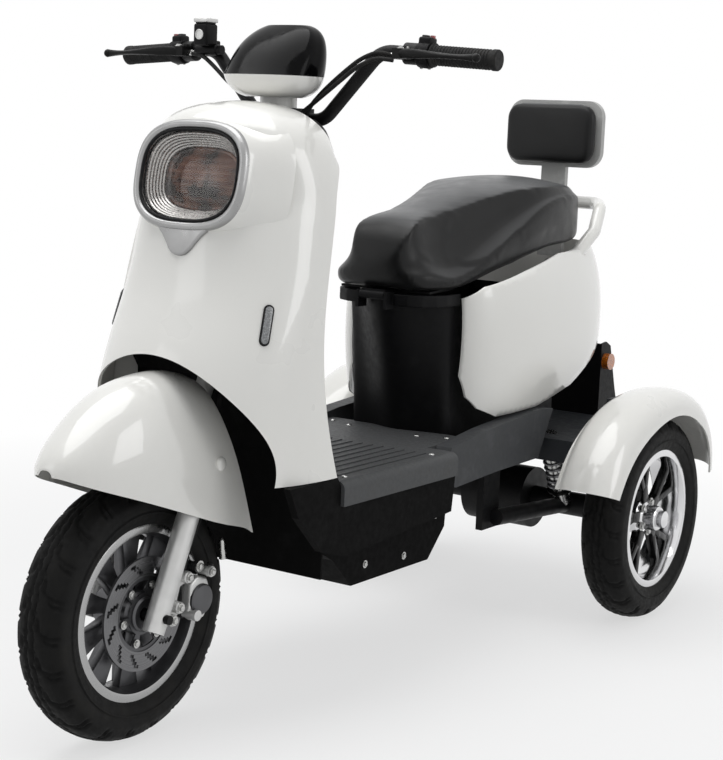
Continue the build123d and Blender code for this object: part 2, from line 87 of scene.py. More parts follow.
class ScooterColours(bpy.types.PropertyGroup):
    body: colour("Body", "Painted shells", (0.80, 0.795, 0.765))
    trim: colour("Trim", "Moulded black covers", (0.0055, 0.0055, 0.006))
    mat: colour("Floor mat", "Ribbed rubber mat", (0.070, 0.072, 0.074))
    vinyl: colour("Vinyl", "Seat and backrest cover", (0.0045, 0.0046, 0.0048))
    # Paler colour painted on the upward-facing top of the seat cover: a painted highlight
    top_painted_highlight: colour("Painted_highlight vinyl", "Upper side of the seat cover", (0.105, 0.107, 0.110))
    alloy: colour("Front rim", "Dark cast alloy", (0.105, 0.105, 0.11))
    silver: colour("Silver", "Fork legs and brake", (0.66, 0.66, 0.65))
    signal: colour("Signal lens", "Turn signal lenses", (0.80, 0.21, 0.02))


class ScooterWheels(bpy.types.PropertyGroup):
    repeats: IntProperty(name="Tread repeats", description="Tread blocks round a tyre", default=22, min=8,
                         max=40)
    groove: FloatProperty(name="Groove depth", description="Depth of the tread grooves", default=0.0045,
                          min=0, max=0.006, unit="LENGTH")
    front_spokes: IntProperty(name="Front spokes", description="Spokes of the front rim", default=10, min=3,
                              max=16)
    rear_spokes: IntProperty(name="Rear spokes", description="Spokes of a rear rim", default=5, min=3, max=10)


class ScooterSeat(bpy.types.PropertyGroup):
    pressure: FloatProperty(name="Filling", description="Pressure inside the cover while it settles", default=4.0,
                            min=0, max=12)
    swell: FloatProperty(name="Swell", description="Most that the cover may move outwards", default=0.0022,
                         min=0, max=0.02, unit="LENGTH")
    voxel: FloatProperty(name="Cover mesh", description="Mesh size of the cover", default=0.005,
                         min=0.003, max=0.01, unit="LENGTH")


class ScooterStage(bpy.types.PropertyGroup):
    floor: colour("Floor", "Floor colour", (0.86, 0.86, 0.86))
    key: FloatProperty(name="Key light", description="Power of the large overhead light", default=60.0, min=0,
                       unit="POWER")
    fill: FloatProperty(name="Ambient", description="Strength of the even light from all sides", default=0.42,
                        min=0, max=2)


# ---------------------------------------------------------------- shader sockets

class Value:
    """A number that varies over a surface, as a shader socket with arithmetic."""

    def __init__(self, finish, socket):
        self.finish = finish
        self.socket = socket

    def maths(self, operation, *others):
        values = dict(enumerate((self, *others)))
        return self.finish.node("ShaderNodeMath", {"operation": operation}, values).out()

    def __add__(self, other):
        return self.maths("ADD", other)

    def __mul__(self, other):
        return self.maths("MULTIPLY", other)

    def __sub__(self, other):
        return self.maths("SUBTRACT", other)


class NodeOutputs:
    """A made node, whose outputs are read as values."""

    def __init__(self, finish, node):
        self.finish = finish
        self.node = node

    def out(self, name=0):
        return Value(self.finish, self.node.outputs[name])


class Finish:
    """One material under construction."""

    def __init__(self, name, color, roughness, metallic=0.0, **constants):
        self.material = bpy.data.materials.new(name)
        self.material.use_nodes = True
        self.tree = self.material.node_tree
        self.shader = self.tree.nodes["Principled BSDF"]
        self.material.diffuse_color = (*color, 1.0)
        self.shader.inputs["Base Color"].default_value = (*color, 1.0)
        self.shader.inputs["Roughness"].default_value = roughness
        self.shader.inputs["Metallic"].default_value = metallic
        for socket, value in constants.items():
            self.shader.inputs[socket.replace("_", " ")].default_value = value
        self.place = self.node("ShaderNodeTexCoord").out("Object")

    def node(self, kind, settings=None, values=None, stops=None):
        """Makes a node: its settings first, then its ramp stops, then its inputs."""
        made = self.tree.nodes.new(kind)
        for key, value in (settings or {}).items():
            setattr(made, key, value)
        if stops:
            ramp = made.color_ramp
            while len(ramp.elements) < len(stops):
                ramp.elements.new(0.5)
            for element, (position, color) in zip(ramp.elements, stops):
                element.position = position
                element.color = color if len(color) == 4 else (*color, 1.0)
        for key, value in (values or {}).items():
            if isinstance(value, Value):
                self.tree.links.new(value.socket, made.inputs[key])
            else:
                made.inputs[key].default_value = value
        return NodeOutputs(self, made)

    def noise(self, scale, detail=4.0, roughness=0.55):
        values = {"Vector": self.place, "Scale": scale, "Detail": detail, "Roughness": roughness}
        return self.node("ShaderNodeTexNoise", None, values).out("Fac")

    def cells(self, scale, feature="F1"):
        values = {"Vector": self.place, "Scale": scale}
        return self.node("ShaderNodeTexVoronoi", {"feature": feature}, values).out("Distance")

    def remap(self, value, low, high, to_low, to_high):
        values = {"Value": value, "From Min": low, "From Max": high, "To Min": to_low, "To Max": to_high}
        return self.node("ShaderNodeMapRange", None, values).out("Result")

    def blend(self, factor, first, second):
        """A colour between two colours."""
        made = self.node("ShaderNodeMix", {"data_type": "RGBA"})
        for socket, value in ((0, factor), (6, first), (7, second)):
            if isinstance(value, Value):
                self.tree.links.new(value.socket, made.node.inputs[socket])
            elif socket == 0:
                made.node.inputs[socket].default_value = value
            else:
                made.node.inputs[socket].default_value = (*value[:3], 1.0)
        return made.out(2)

    def feed(self, **sockets):
        for name, value in sockets.items():
            self.tree.links.new(value.socket, self.shader.inputs[name.replace("_", " ")])
        return self

    def bump(self, height, strength, distance):
        values = {"Height": height, "Strength": strength, "Distance": distance}
        return self.feed(Normal=self.node("ShaderNodeBump", None, values).out("Normal"))

    def axis(self, letter):
        return self.node("ShaderNodeSeparateXYZ", None, {"Vector": self.place}).out(letter)


def colours():
    return bpy.context.scene.scooter_colours


# ---------------------------------------------------------------- finishes

def gloss_paint(name, color):
    """Painted shell under clear coat, with faint orange peel and a faint painted shade, darker and warmer, low down.
    """
    f = Finish(name, color, 0.30, Coat_Weight=1.0, Coat_Roughness=0.04, Specular_IOR_Level=0.5)
    patches = f.noise(7.0, 3.0)
    # Painted shade: below 0.62 m the colour is blended, mottled by noise, towards a darker warm beige, fully from
    # 0.30 m down
    dust_and_painted_shade = f.remap(f.axis("Z"), 0.30, 0.62, 1.0, 0.0) * f.noise(60.0, 6.0)
    warm = f.blend(patches * 0.5, color, [c * k for c, k in zip(color, (1.0, 0.992, 0.975))])
    f.feed(Base_Color=f.blend(dust_and_painted_shade * 0.10, warm, (0.42, 0.39, 0.34)))
    f.feed(Roughness=f.remap(patches, 0.3, 0.7, 0.26, 0.36))
    return f.bump(f.noise(240.0, 2.0), 0.05, 0.0004).material


def moulded_plastic(name, color, roughness, grain=900.0, depth=0.00016, specular=0.10):
    """Injection-moulded plastic with a fine leather-like grain, paler in worn patches."""
    f = Finish(name, color, roughness, Specular_IOR_Level=specular)
    pits = f.cells(grain, "F1")
    wear = f.remap(f.noise(22.0, 5.0, 0.6), 0.55, 0.75, 0.0, 1.0)
    pale = [min(1.0, c * 1.9 + 0.006) for c in color]
    f.feed(Base_Color=f.blend(wear * 0.45, color, pale))
    f.feed(Roughness=f.remap(f.noise(90.0, 3.0), 0.3, 0.7, roughness - 0.07, roughness + 0.09))
    return f.bump(pits, 0.35, depth).material


def rubber(name, color, roughness=0.72):
    """Black rubber with pale dirt in its pores."""
    f = Finish(name, color, roughness, Specular_IOR_Level=0.16)
    dust_and_painted_shade = f.remap(f.noise(48.0, 8.0, 0.62), 0.50, 0.80, 0.0, 1.0)
    f.feed(Base_Color=f.blend(dust_and_painted_shade * 0.30, color, (0.060, 0.055, 0.048)))
    f.feed(Roughness=f.remap(f.noise(160.0, 4.0), 0.3, 0.7, roughness - 0.1, roughness + 0.12))
    return f.bump(f.noise(700.0, 3.0), 0.35, 0.0003).material


def tyre_rubber():
    """Tread rubber: matt, with pale dirt on the blocks and painted shade darkening the grooves."""
    f = Finish("tyre_rubber", (0.010, 0.010, 0.010), 0.62, Specular_IOR_Level=0.11)
    depth = f.node("ShaderNodeAttribute", {"attribute_name": "groove"}).out("Fac")
    dust_and_painted_shade = f.remap(f.noise(30.0, 8.0, 0.65), 0.42, 0.80, 0.0, 1.0)
    block = f.blend(dust_and_painted_shade * 0.24, (0.0085, 0.0085, 0.0085), (0.050, 0.047, 0.042))
    # Painted shade: the grooves are blended towards near-black by their depth
    f.feed(Base_Color=f.blend(depth, block, (0.0015, 0.0015, 0.0015)))
    f.feed(Roughness=f.remap(f.noise(120.0, 4.0), 0.3, 0.7, 0.50, 0.74))
    return f.bump(f.noise(800.0, 3.0), 0.30, 0.0003).material


def vinyl(name):
    """Satin upholstery vinyl: pebbled grain, soft sheen, and a painted highlight that makes the upward-facing top
    paler.
    """
    color = colours().vinyl
    f = Finish(name, color, 0.36, Specular_IOR_Level=0.24, Sheen_Weight=0.02, Sheen_Roughness=0.5)
    pebbles = f.cells(720.0, "SMOOTH_F1")
    creases = f.cells(260.0, "DISTANCE_TO_EDGE")
    facing_way = f.node("ShaderNodeTexCoord").out("Normal")
    upward = f.node("ShaderNodeSeparateXYZ", None, {"Vector": facing_way}).out("Z")
    # Painted highlight: faces that point upwards are blended, mottled by noise, towards the paler colour
    top_painted_highlight = f.remap(upward, 0.72, 0.99, 0.0, 1.0) * f.remap(f.noise(9.0, 4.0), 0.30, 0.70, 0.75, 1.0)
    f.feed(Base_Color=f.blend(top_painted_highlight, color, colours().top_painted_highlight))
    f.feed(Roughness=f.remap(f.noise(30.0, 4.0), 0.3, 0.7, 0.29, 0.41))
    return f.bump(pebbles * 0.7 + f.remap(creases, 0.0, 0.12, 0.0, 0.5), 0.40, 0.00022).material


def cast_metal(name, color, roughness, coarse=0.0002, metallic=0.85):
    """Cast or painted alloy with a fine granular skin."""
    f = Finish(name, color, roughness, metallic=metallic)
    f.feed(Roughness=f.remap(f.noise(70.0, 5.0), 0.3, 0.7, roughness - 0.07, roughness + 0.10))
    shade = f.remap(f.noise(16.0, 4.0), 0.35, 0.7, 0.0, 1.0)
    f.feed(Base_Color=f.blend(shade * 0.6, color, [c * 0.72 for c in color]))
    return f.bump(f.noise(900.0, 2.0), 0.25, coarse).material


def polished_metal(name, color=(0.72, 0.72, 0.73), roughness=0.10):
    """Turned and polished metal with hairline swirls."""
    f = Finish(name, color, roughness, metallic=1.0)
    f.feed(Roughness=f.remap(f.noise(300.0, 3.0), 0.3, 0.7, roughness * 0.6, roughness + 0.10))
    f.feed(Base_Color=f.blend(f.noise(14.0, 3.0) * 0.5, color, [c * 0.86 for c in color]))
    return f.bump(f.noise(1400.0, 1.0), 0.10, 0.00005).material


def brushed_disc():
    """Ground steel whose scratches run round the axle."""
    f = Finish("ground_steel", (0.16, 0.16, 0.165), 0.36, metallic=1.0)
    across = f.axis("Z") - TYRE_RADIUS
    along = f.axis("Y") - FRONT_WHEEL.y
    radius = (across * across + along * along).maths("SQRT")
    rings = f.node("ShaderNodeTexNoise", {"noise_dimensions": "1D"}, {"W": radius, "Scale": 900.0}).out("Fac")
    f.feed(Roughness=f.remap(rings, 0.3, 0.7, 0.26, 0.46))
    f.feed(Base_Color=f.blend(rings, (0.10, 0.10, 0.105), (0.24, 0.24, 0.245)))
    return f.bump(rings, 0.25, 0.0001).material


def powder_coat(name, color=(0.0055, 0.0055, 0.006)):
    """Black powder coat on steel."""
    f = Finish(name, color, 0.45, Specular_IOR_Level=0.16)
    f.feed(Roughness=f.remap(f.noise(60.0, 4.0), 0.3, 0.7, 0.38, 0.56))
    f.feed(Base_Color=f.blend(f.remap(f.noise(26.0, 6.0), 0.5, 0.8, 0.0, 0.5), color, (0.022, 0.020, 0.018)))
    return f.bump(f.noise(1100.0, 2.0), 0.22, 0.0002).material


def ribbed_lens(name, color, pitch, roughness=0.12):
    """Coloured lens with fine moulded prisms."""
    f = Finish(name, color, roughness, Coat_Weight=1.0, Coat_Roughness=0.03, Specular_IOR_Level=0.6)
    prisms = f.cells(pitch, "F1")
    f.feed(Base_Color=f.blend(f.remap(prisms, 0.0, 0.7, 0.0, 1.0), color, [c * 0.45 for c in color]))
    return f.bump(prisms, 0.6, 0.0006).material


def lamp_shade():
    """Dark brown inner shade of the lamp, with a painted reflection: mottled warm patches and brighter rows stand in
    for the room mirrored in it.
    """
    f = Finish("lamp_shade", (0.020, 0.010, 0.008), 0.18, Coat_Weight=0.4, Coat_Roughness=0.05,
               Specular_IOR_Level=0.4)
    # Painted reflection: warm patches, and within them bright rows up the height, stand in for what the lamp mirrors
    patches = f.remap(f.noise(26.0, 3.0, 0.5), 0.40, 0.62, 0.0, 1.0)
    painted_glint_rows = f.remap((f.axis("Z") * 620.0).maths("SINE"), -0.3, 1.0, 0.0, 1.0) * patches
    warm = f.blend(patches, (0.010, 0.008, 0.008), (0.085, 0.035, 0.022))
    f.feed(Base_Color=f.blend(painted_glint_rows * 0.5, warm, (0.16, 0.085, 0.060)))
    return f.bump(f.noise(50.0, 2.0), 0.08, 0.0005).material


def clear_lens():
    """Clear outer lens of the headlamp."""
    f = Finish("clear_lens", (0.97, 0.96, 0.95), 0.02, Transmission_Weight=1.0, IOR=1.18)
    return f.bump(f.noise(6.0, 1.0), 0.02, 0.001).material


FINISHES = {}


def finish(name):
    """The named finish, made once."""
    if name not in FINISHES:
        c = colours()
        makers = {
            "body": lambda: gloss_paint("body_paint", c.body),
            "trim": lambda: moulded_plastic("black_trim", c.trim, 0.46),
            # Darker copy of the black trim for the wheel well, lower fairings and belly pan; on the lower pieces it
            # is painted shade
            "shaded_lining": lambda: moulded_plastic("lining_black_painted_shade", (0.003, 0.003, 0.003), 0.72, 500.0, 0.0002, 0.06),
            "mat": lambda: rubber("floor_mat", c.mat, 0.50),
            "cover": lambda: moulded_plastic("moulded_cover", (0.056, 0.058, 0.061), 0.50, 700.0, 0.0002, 0.16),
            "frame": lambda: powder_coat("powder_coat"),
            "deck": lambda: moulded_plastic("deck_sheet", (0.022, 0.024, 0.027), 0.55, 400.0, 0.0002, 0.2),
            "silver": lambda: cast_metal("satin_silver", c.silver, 0.36, metallic=0.6),
            "alloy": lambda: cast_metal("dark_alloy", c.alloy, 0.38),
            "ring": lambda: cast_metal("lamp_ring", (0.36, 0.36, 0.36), 0.30),
            "bright": lambda: polished_metal("polished_alloy"),
            "steel": brushed_disc,
            "bolt": lambda: polished_metal("zinc_bolts", (0.50, 0.50, 0.49), 0.24),
            "tyre": tyre_rubber,
            "rubber": lambda: rubber("soft_rubber", (0.012, 0.012, 0.012), 0.62),
            "vinyl": lambda: vinyl("seat_vinyl"),
            "gasket": lambda: rubber("lamp_gasket", (0.008, 0.008, 0.009), 0.5),
            "bowl": lambda: polished_metal("lamp_bowl", (0.42, 0.415, 0.41), 0.30),
            "smoke": lambda: moulded_plastic("smoked_cover", (0.0015, 0.0015, 0.0018), 0.12, 30.0, 0.00001, 0.07),
            "gloss_black": lambda: moulded_plastic("gloss_black", (0.004, 0.004, 0.004), 0.16, 300.0, 0.00002, 0.3),
            "satin_black": lambda: cast_metal("satin_black", (0.010, 0.010, 0.010), 0.42),
            "shade": lamp_shade,
            "lip": lambda: polished_metal("rim_lip", (0.40, 0.40, 0.40), 0.20),
            "pale_grey": lambda: moulded_plastic("pale_grey", (0.42, 0.42, 0.41), 0.4, 600.0, 0.0001, 0.4),
            "amber": lambda: ribbed_lens("amber_lens", c.signal, 260.0),
            "red": lambda: ribbed_lens("red_lens", (0.42, 0.01, 0.012), 220.0),
            "reflector": lambda: ribbed_lens("clear_reflector", (0.30, 0.31, 0.32), 330.0, 0.2),
            "lens": clear_lens,
            "case": lambda: moulded_plastic("battery_case", (0.04, 0.04, 0.043), 0.6),
        }
        FINISHES[name] = makers[name]()
    return FINISHES[name]


# ---------------------------------------------------------------- modelling helpers

def make_piece(name, bm, body, finishes, replaces=(), sharp=35.0):
    """Turns a bmesh into a piece that rides on a body."""
    bmesh.ops.remove_doubles(bm, verts=bm.verts, dist=0.00001)
    bmesh.ops.recalc_face_normals(bm, faces=bm.faces)
    mesh = bpy.data.meshes.new(name)
    bm.to_mesh(mesh)
    bm.free()
    piece = bpy.data.objects.new(name, mesh)
    bpy.context.scene.collection.objects.link(piece)
    for word in finishes:
        mesh.materials.append(finish(word))
    mesh.shade_smooth()
    mesh.set_sharp_from_angle(angle=radians(sharp))
    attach(piece, body)
    if replaces:
        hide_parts(*replaces)
    return piece


def lathe(bm, outline, centre, steps=96, closed=False, material=0):
    """Turns an outline of (x, radius) points about the X axis through a centre."""
    ring = [bm.verts.new((x, 0.0, r)) for x, r in outline]
    pairs = list(zip(ring, ring[1:] + ring[:1])) if closed else list(zip(ring, ring[1:]))
    edges = [bm.edges.new(pair) for pair in pairs]
    before = set(bm.faces)
    bmesh.ops.spin(bm, geom=ring + edges, cent=(0, 0, 0), axis=(1, 0, 0), angle=2 * pi, steps=steps,
                   use_merge=True, use_duplicate=False)
    made = [f for f in bm.faces if f not in before]
    for face in made:
        face.material_index = material
    verts = list({v for f in made for v in f.verts})
    bmesh.ops.translate(bm, verts=verts, vec=centre)
    return made


def slab(bm, outline, thickness, place, material=0, bevel=0.0, segments=2):
    """Extrudes a flat outline of (u, v) points by a thickness, bevels it and puts it in place."""
    verts = [bm.verts.new((u, v, 0.0)) for u, v in outline]
    face = bm.faces.new(verts)
    pushed = bmesh.ops.extrude_face_region(bm, geom=[face])["geom"]
    top = [v for v in pushed if isinstance(v, bmesh.types.BMVert)]
    bmesh.ops.translate(bm, verts=top, vec=(0, 0, thickness))
    verts += top
    faces = list({f for v in verts for f in v.link_faces})
    bmesh.ops.recalc_face_normals(bm, faces=faces)
    if bevel:
        edges = list({e for f in faces for e in f.edges})
        made = bmesh.ops.bevel(bm, geom=edges, offset=bevel, affect="EDGES", segments=segments, profile=0.5,
                               material=-1, clamp_overlap=True)
        verts = list({v for f in made["faces"] for v in f.verts} | {v for v in verts if v.is_valid})
        faces = list({f for v in verts for f in v.link_faces})
    for f in faces:
        f.material_index = material
    bmesh.ops.transform(bm, matrix=place, verts=verts)
    return faces


def drum(bm, radius, depth, place, segments, bevel=0.0, material=0):
    """A capped cylinder along the local Z axis, from 0 to depth."""
    made = bmesh.ops.create_cone(bm, cap_ends=True, segments=segments, radius1=radius, radius2=radius,
                                 depth=depth)["verts"]
    bmesh.ops.translate(bm, verts=made, vec=(0, 0, depth / 2))
    faces = list({f for v in made for f in v.link_faces})
    if bevel:
        rims = [e for e in {e for f in faces for e in f.edges} if any(len(f.verts) > 4 for f in e.link_faces)]
        done = bmesh.ops.bevel(bm, geom=rims, offset=bevel, affect="EDGES", segments=2, profile=0.5,
                               material=-1)
        made = list({v for f in done["faces"] for v in f.verts} | {v for v in made if v.is_valid})
        faces = list({f for v in made for f in v.link_faces})
        made = list({v for f in faces for v in f.verts})
    for f in faces:
        f.material_index = material
    bmesh.ops.transform(bm, matrix=place, verts=made)
    return made


def facing(point, direction):
    """A matrix whose Z axis is a direction and whose origin is a point."""
    z = Vector(direction).normalized()
    x = Vector((0, 0, 1)).cross(z)
    if x.length < 1e-6:
        x = Vector((1, 0, 0))
    x.normalize()
    y = z.cross(x)
    turned = Matrix((x, y, z)).transposed().to_4x4()
    return Matrix.Translation(point) @ turned


def bolt_head(bm, point, direction, radius=0.005, height=0.004, material=0):
    """A hexagon head on its washer."""
    place = facing(point, direction)
    drum(bm, radius * 1.5, height * 0.3, place, 20, material=material)
    drum(bm, radius, height, place, 6, bevel=radius * 0.12, material=material)


def screw_head(bm, point, direction, radius=0.004, material=0):
    """A domed screw head."""
    place = facing(point, direction)
    made = bmesh.ops.create_uvsphere(bm, u_segments=16, v_segments=8, radius=radius)["verts"]
    bmesh.ops.scale(bm, verts=made, vec=(1, 1, 0.5))
    for f in {f for v in made for f in v.link_faces}:
        f.material_index = material
    bmesh.ops.transform(bm, matrix=place, verts=made)


def ring_edges(ring):
    """Edges that join the vertices of a ring to each other."""
    return list({e for v in ring for e in v.link_edges if e.other_vert(v) in ring})


def cap(bm, ring):
    """Closes a ring of vertices with one face."""
    bmesh.ops.holes_fill(bm, edges=ring_edges(ring), sides=len(ring))


def skin(bm, rings, material=0):
    """Skins neighbouring rings of vertices."""
    loops = [ring_edges(ring) for ring in rings]
    for first, second in zip(loops, loops[1:]):
        for f in bmesh.ops.bridge_loops(bm, edges=first + second)["faces"]:
            f.material_index = material


def turn(bm, outline, place, steps=40, material=0):
    """Turns an outline of (radius, height) points about the local Z axis of a place."""
    ring = [bm.verts.new((r, 0.0, h)) for r, h in outline]
    edges = [bm.edges.new(pair) for pair in zip(ring, ring[1:])]
    before = set(bm.faces)
    bmesh.ops.spin(bm, geom=ring + edges, cent=(0, 0, 0), axis=(0, 0, 1), angle=2 * pi, steps=steps,
                   use_merge=True, use_duplicate=False)
    made = [f for f in bm.faces if f not in before]
    for f in made:
        f.material_index = material
    bmesh.ops.transform(bm, matrix=place, verts=list({v for f in made for v in f.verts}))


def brick(bm, low, high, bevel, material=0, place=Matrix()):
    """A box between two corners with rounded edges."""
    span = Vector(high) - Vector(low)
    outline = [(0, 0), (span.x, 0), (span.x, span.y), (0, span.y)]
    return slab(bm, outline, span.z, place @ Matrix.Translation(low), material, bevel, 3)


def at(x, y, z):
    """A point given in millimetres from the floor below the front axle."""
    return Vector((x, y - AXLE_SETBACK, z)) / 1000


# ---------------------------------------------------------------- tyres

TREAD_SECTION = ((0.0345, 0.1365), (0.0385, 0.1425), (0.0425, 0.153), (0.0440, 0.163), (0.0432, 0.173),
                 (0.0408, 0.1825), (0.0362, 0.1905), (0.0295, 0.1963), (0.0205, 0.2002), (0.0105, 0.2023),
                 (0.0, 0.203))

TYRE_LINING = ((0.0345, 0.1365), (0.030, 0.1285), (0.0, 0.1285), (-0.030, 0.1285), (-0.0345, 0.1365))
WALL_RIB = ((0.0445, 0.1545), (0.0452, 0.1555), (0.0450, 0.1570))
CELLS_PER_BLOCK, CELLS_ACROSS = 18, 60
CROWN_HALF, CROWN_EDGE_RADIUS = 0.02, 0.2002


def section_point(share):
    """Point (x, radius) of the tyre section, from one bead at -1 to the other at 1, and its way outwards."""
    side = 1 if share >= 0 else -1
    reach = (1 - abs(share)) * (len(TREAD_SECTION) - 1)
    i = min(int(reach), len(TREAD_SECTION) - 2)
    k = reach - i
    (x0, r0), (x1, r1) = TREAD_SECTION[i], TREAD_SECTION[i + 1]
    x, r = x0 + (x1 - x0) * k, r0 + (r1 - r0) * k
    outward = Vector((r0 - r1, x0 - x1)).normalized() * -1
    return side * x, r, Vector((side * abs(outward.x), abs(outward.y)))


def near_path(s, t, path):
    """Distance from a point to an open path of points."""
    best = 1.0
    for (s0, t0), (s1, t1) in zip(path, path[1:]):
        ds, dt = s1 - s0, t1 - t0
        k = max(0.0, min(1.0, ((s - s0) * ds + (t - t0) * dt) / (ds * ds + dt * dt)))
        best = min(best, hypot(s - s0 - k * ds, t - t0 - k * dt))
    return best


# Grooves of one block: a path of (along, across) points and half its width
GROOVES = (
    (((0.000, 0.014), (0.014, 0.015), (0.021, 0.020), (0.026, 0.033), (0.027, 0.050)), 0.0036),
    (((0.030, 0.026), (0.036, 0.034), (0.038, 0.047)), 0.0030),
    (((-0.010, 0.009), (0.012, 0.004), (0.030, 0.009), (0.052, 0.004)), 0.0024),
)
TREAD_EDGE, TREAD_FADE = 0.054, 0.006


def tread_depth(s, t, pitch):
    """Share of the groove depth at s along the tyre and t across it, for one side of a tread block."""
    ways = [near_path(s + shift, t, path) / width for path, width in GROOVES for shift in (-pitch, 0.0, pitch)]
    near = min(1.0, *ways)
    inside = max(0.0, min(1.0, (1.35 - near) / 0.7))
    return inside * max(0.0, min(1.0, (TREAD_EDGE - t) / TREAD_FADE))


def make_tyre(word, centre, body, node):
    """A tyre with directional grooves, swept round its wheel."""
    wheels = bpy.context.scene.scooter_wheels
    repeats = wheels.repeats
    pitch = 2 * pi * TYRE_RADIUS / repeats
    around = repeats * CELLS_PER_BLOCK
    bm = bmesh.new()
    bmesh.ops.create_grid(bm, x_segments=around, y_segments=CELLS_ACROSS, size=1.0)
    layer = bm.verts.layers.float.new("groove")
    for v in bm.verts:
        along, share = (v.co.x + 1) / 2, v.co.y
        x, r, outward = section_point(share)
        s = along * pitch * repeats + (0.5 * pitch if share < 0 else 0.0)
        t = abs(x) if abs(x) < CROWN_HALF else CROWN_HALF + hypot(abs(x) - CROWN_HALF, CROWN_EDGE_RADIUS - r)
        depth = tread_depth(s % pitch, t, pitch)
        v[layer] = depth
        x -= outward.x * depth * wheels.groove
        r -= outward.y * depth * wheels.groove
        angle = along * 2 * pi
        v.co = Vector((x, -r * sin(angle), r * cos(angle))) + centre
    lathe(bm, TYRE_LINING, centre, around)
    for side in (-1, 1):
        lathe(bm, [(side * x, r) for x, r in WALL_RIB], centre, 96)
    return make_piece(f"tyre_{word}", bm, body, ["tyre"], [node], 60.0)


class SCOOTER_OT_tyres(bpy.types.Operator):
    """Three tyres with directional tread"""

    bl_idname = "scooter.tyres"
    bl_label = "Tyres"

    def execute(self, context):
        make_tyre("front", FRONT_WHEEL, "front_wheel", "front_tyre")
        for side, centre in REAR_WHEELS.items():
            make_tyre(f"rear_{side}", centre, f"rear_wheel_{side}", f"rear_tyre_{side}")
        return {"FINISHED"}


# ---------------------------------------------------------------- wheels

def wheel_face(centre, angle, x):
    """A matrix for a part drawn in the wheel's plane: local Y is outwards along the angle, Z along +X."""
    turned = Matrix.Rotation(angle, 4, "X") @ Matrix(((0, 0, 1, 0), (-1, 0, 0, 0), (0, 1, 0, 0), (0, 0, 0, 1)))
    return Matrix.Translation(centre + Vector((x, 0, 0))) @ turned


RIM_STEPS = 128
REAR_SPOKE_START = 0.2
REAR_BOLT_CIRCLE = 0.030
RIM_BARREL = ((-0.035, 0.1245), (-0.020, 0.1185), (0.020, 0.1185), (0.034, 0.1245), (0.034, 0.1275),
              (0.0, 0.1278), (-0.034, 0.1275), (-0.034, 0.1245))
RIM_LIP = ((0.0315, 0.1275), (0.0345, 0.1235), (0.0352, 0.1262), (0.0352, 0.1345), (0.0345, 0.1362),
           (0.0318, 0.1362), (0.0310, 0.1335))


def make_rim_rings(bm, centre, barrel_material):
    """Barrel of a rim with a turned lip on each side."""
    lathe(bm, RIM_BARREL, centre, RIM_STEPS, closed=True, material=barrel_material)
    for side in (-1, 1):
        lathe(bm, [(side * x, r) for x, r in RIM_LIP], centre, RIM_STEPS, closed=True, material=1)


def make_front_rim():
    """Dark cast rim with broad tapered spokes and a turned lip."""
    spokes = bpy.context.scene.scooter_wheels.front_spokes
    bm = bmesh.new()
    make_rim_rings(bm, FRONT_WHEEL, 0)
    hub = [(-0.042, 0.008), (-0.042, 0.026), (-0.038, 0.030), (0.030, 0.034), (0.034, 0.030), (0.034, 0.008)]
    lathe(bm, hub, FRONT_WHEEL, 64, material=0)
    for number in range(spokes):
        angle = 2 * pi * number / spokes
        blade = [(-0.0085, 0.028), (0.0085, 0.028), (0.0125, 0.070), (0.0215, 0.120), (-0.0215, 0.120),
                 (-0.0125, 0.070)]
        slab(bm, blade, 0.016, wheel_face(FRONT_WHEEL, angle, -0.004), 0, 0.003)
        rib = [(-0.0035, 0.030), (0.0035, 0.030), (0.0050, 0.118), (-0.0050, 0.118)]
        slab(bm, rib, 0.026, wheel_face(FRONT_WHEEL, angle, -0.020), 0, 0.002)
    return make_piece("rim_front", bm, "front_wheel", ["alloy", "lip"], ["front_rim"])


def ring_grid(bm, radii, steps, centre, x, keep, thickness, material=0):
    """A flat ring of cells, of which only those kept stay, given a thickness."""
    made = lathe(bm, [(0.0, r) for r in radii], Vector((x, 0, 0)) + centre, steps, material=material)
    gone = []
    for f in made:
        c = f.calc_center_median() - centre
        band = max(i for i, r in enumerate(radii[:-1]) if hypot(c.y, c.z) > r * 0.995)
        step = int((atan2(c.z, c.y) % (2 * pi)) / (2 * pi / steps))
        if not keep(band, step):
            gone.append(f)
    bmesh.ops.delete(bm, geom=gone, context="FACES")
    left = [f for f in made if f.is_valid]
    bmesh.ops.recalc_face_normals(bm, faces=left)
    edges, verts = {e for f in left for e in f.edges}, {v for f in left for v in f.verts}
    bmesh.ops.solidify(bm, geom=left + list(edges) + list(verts), thickness=thickness)


DISC_CELLS = 96
DISC_BANDS = (0.058, 0.063, 0.068, 0.073, 0.078, 0.083, 0.088)
CARRIER_BANDS = (0.012, 0.032, 0.042, 0.052, 0.060)
DISC_BOLT_CIRCLE = 0.046


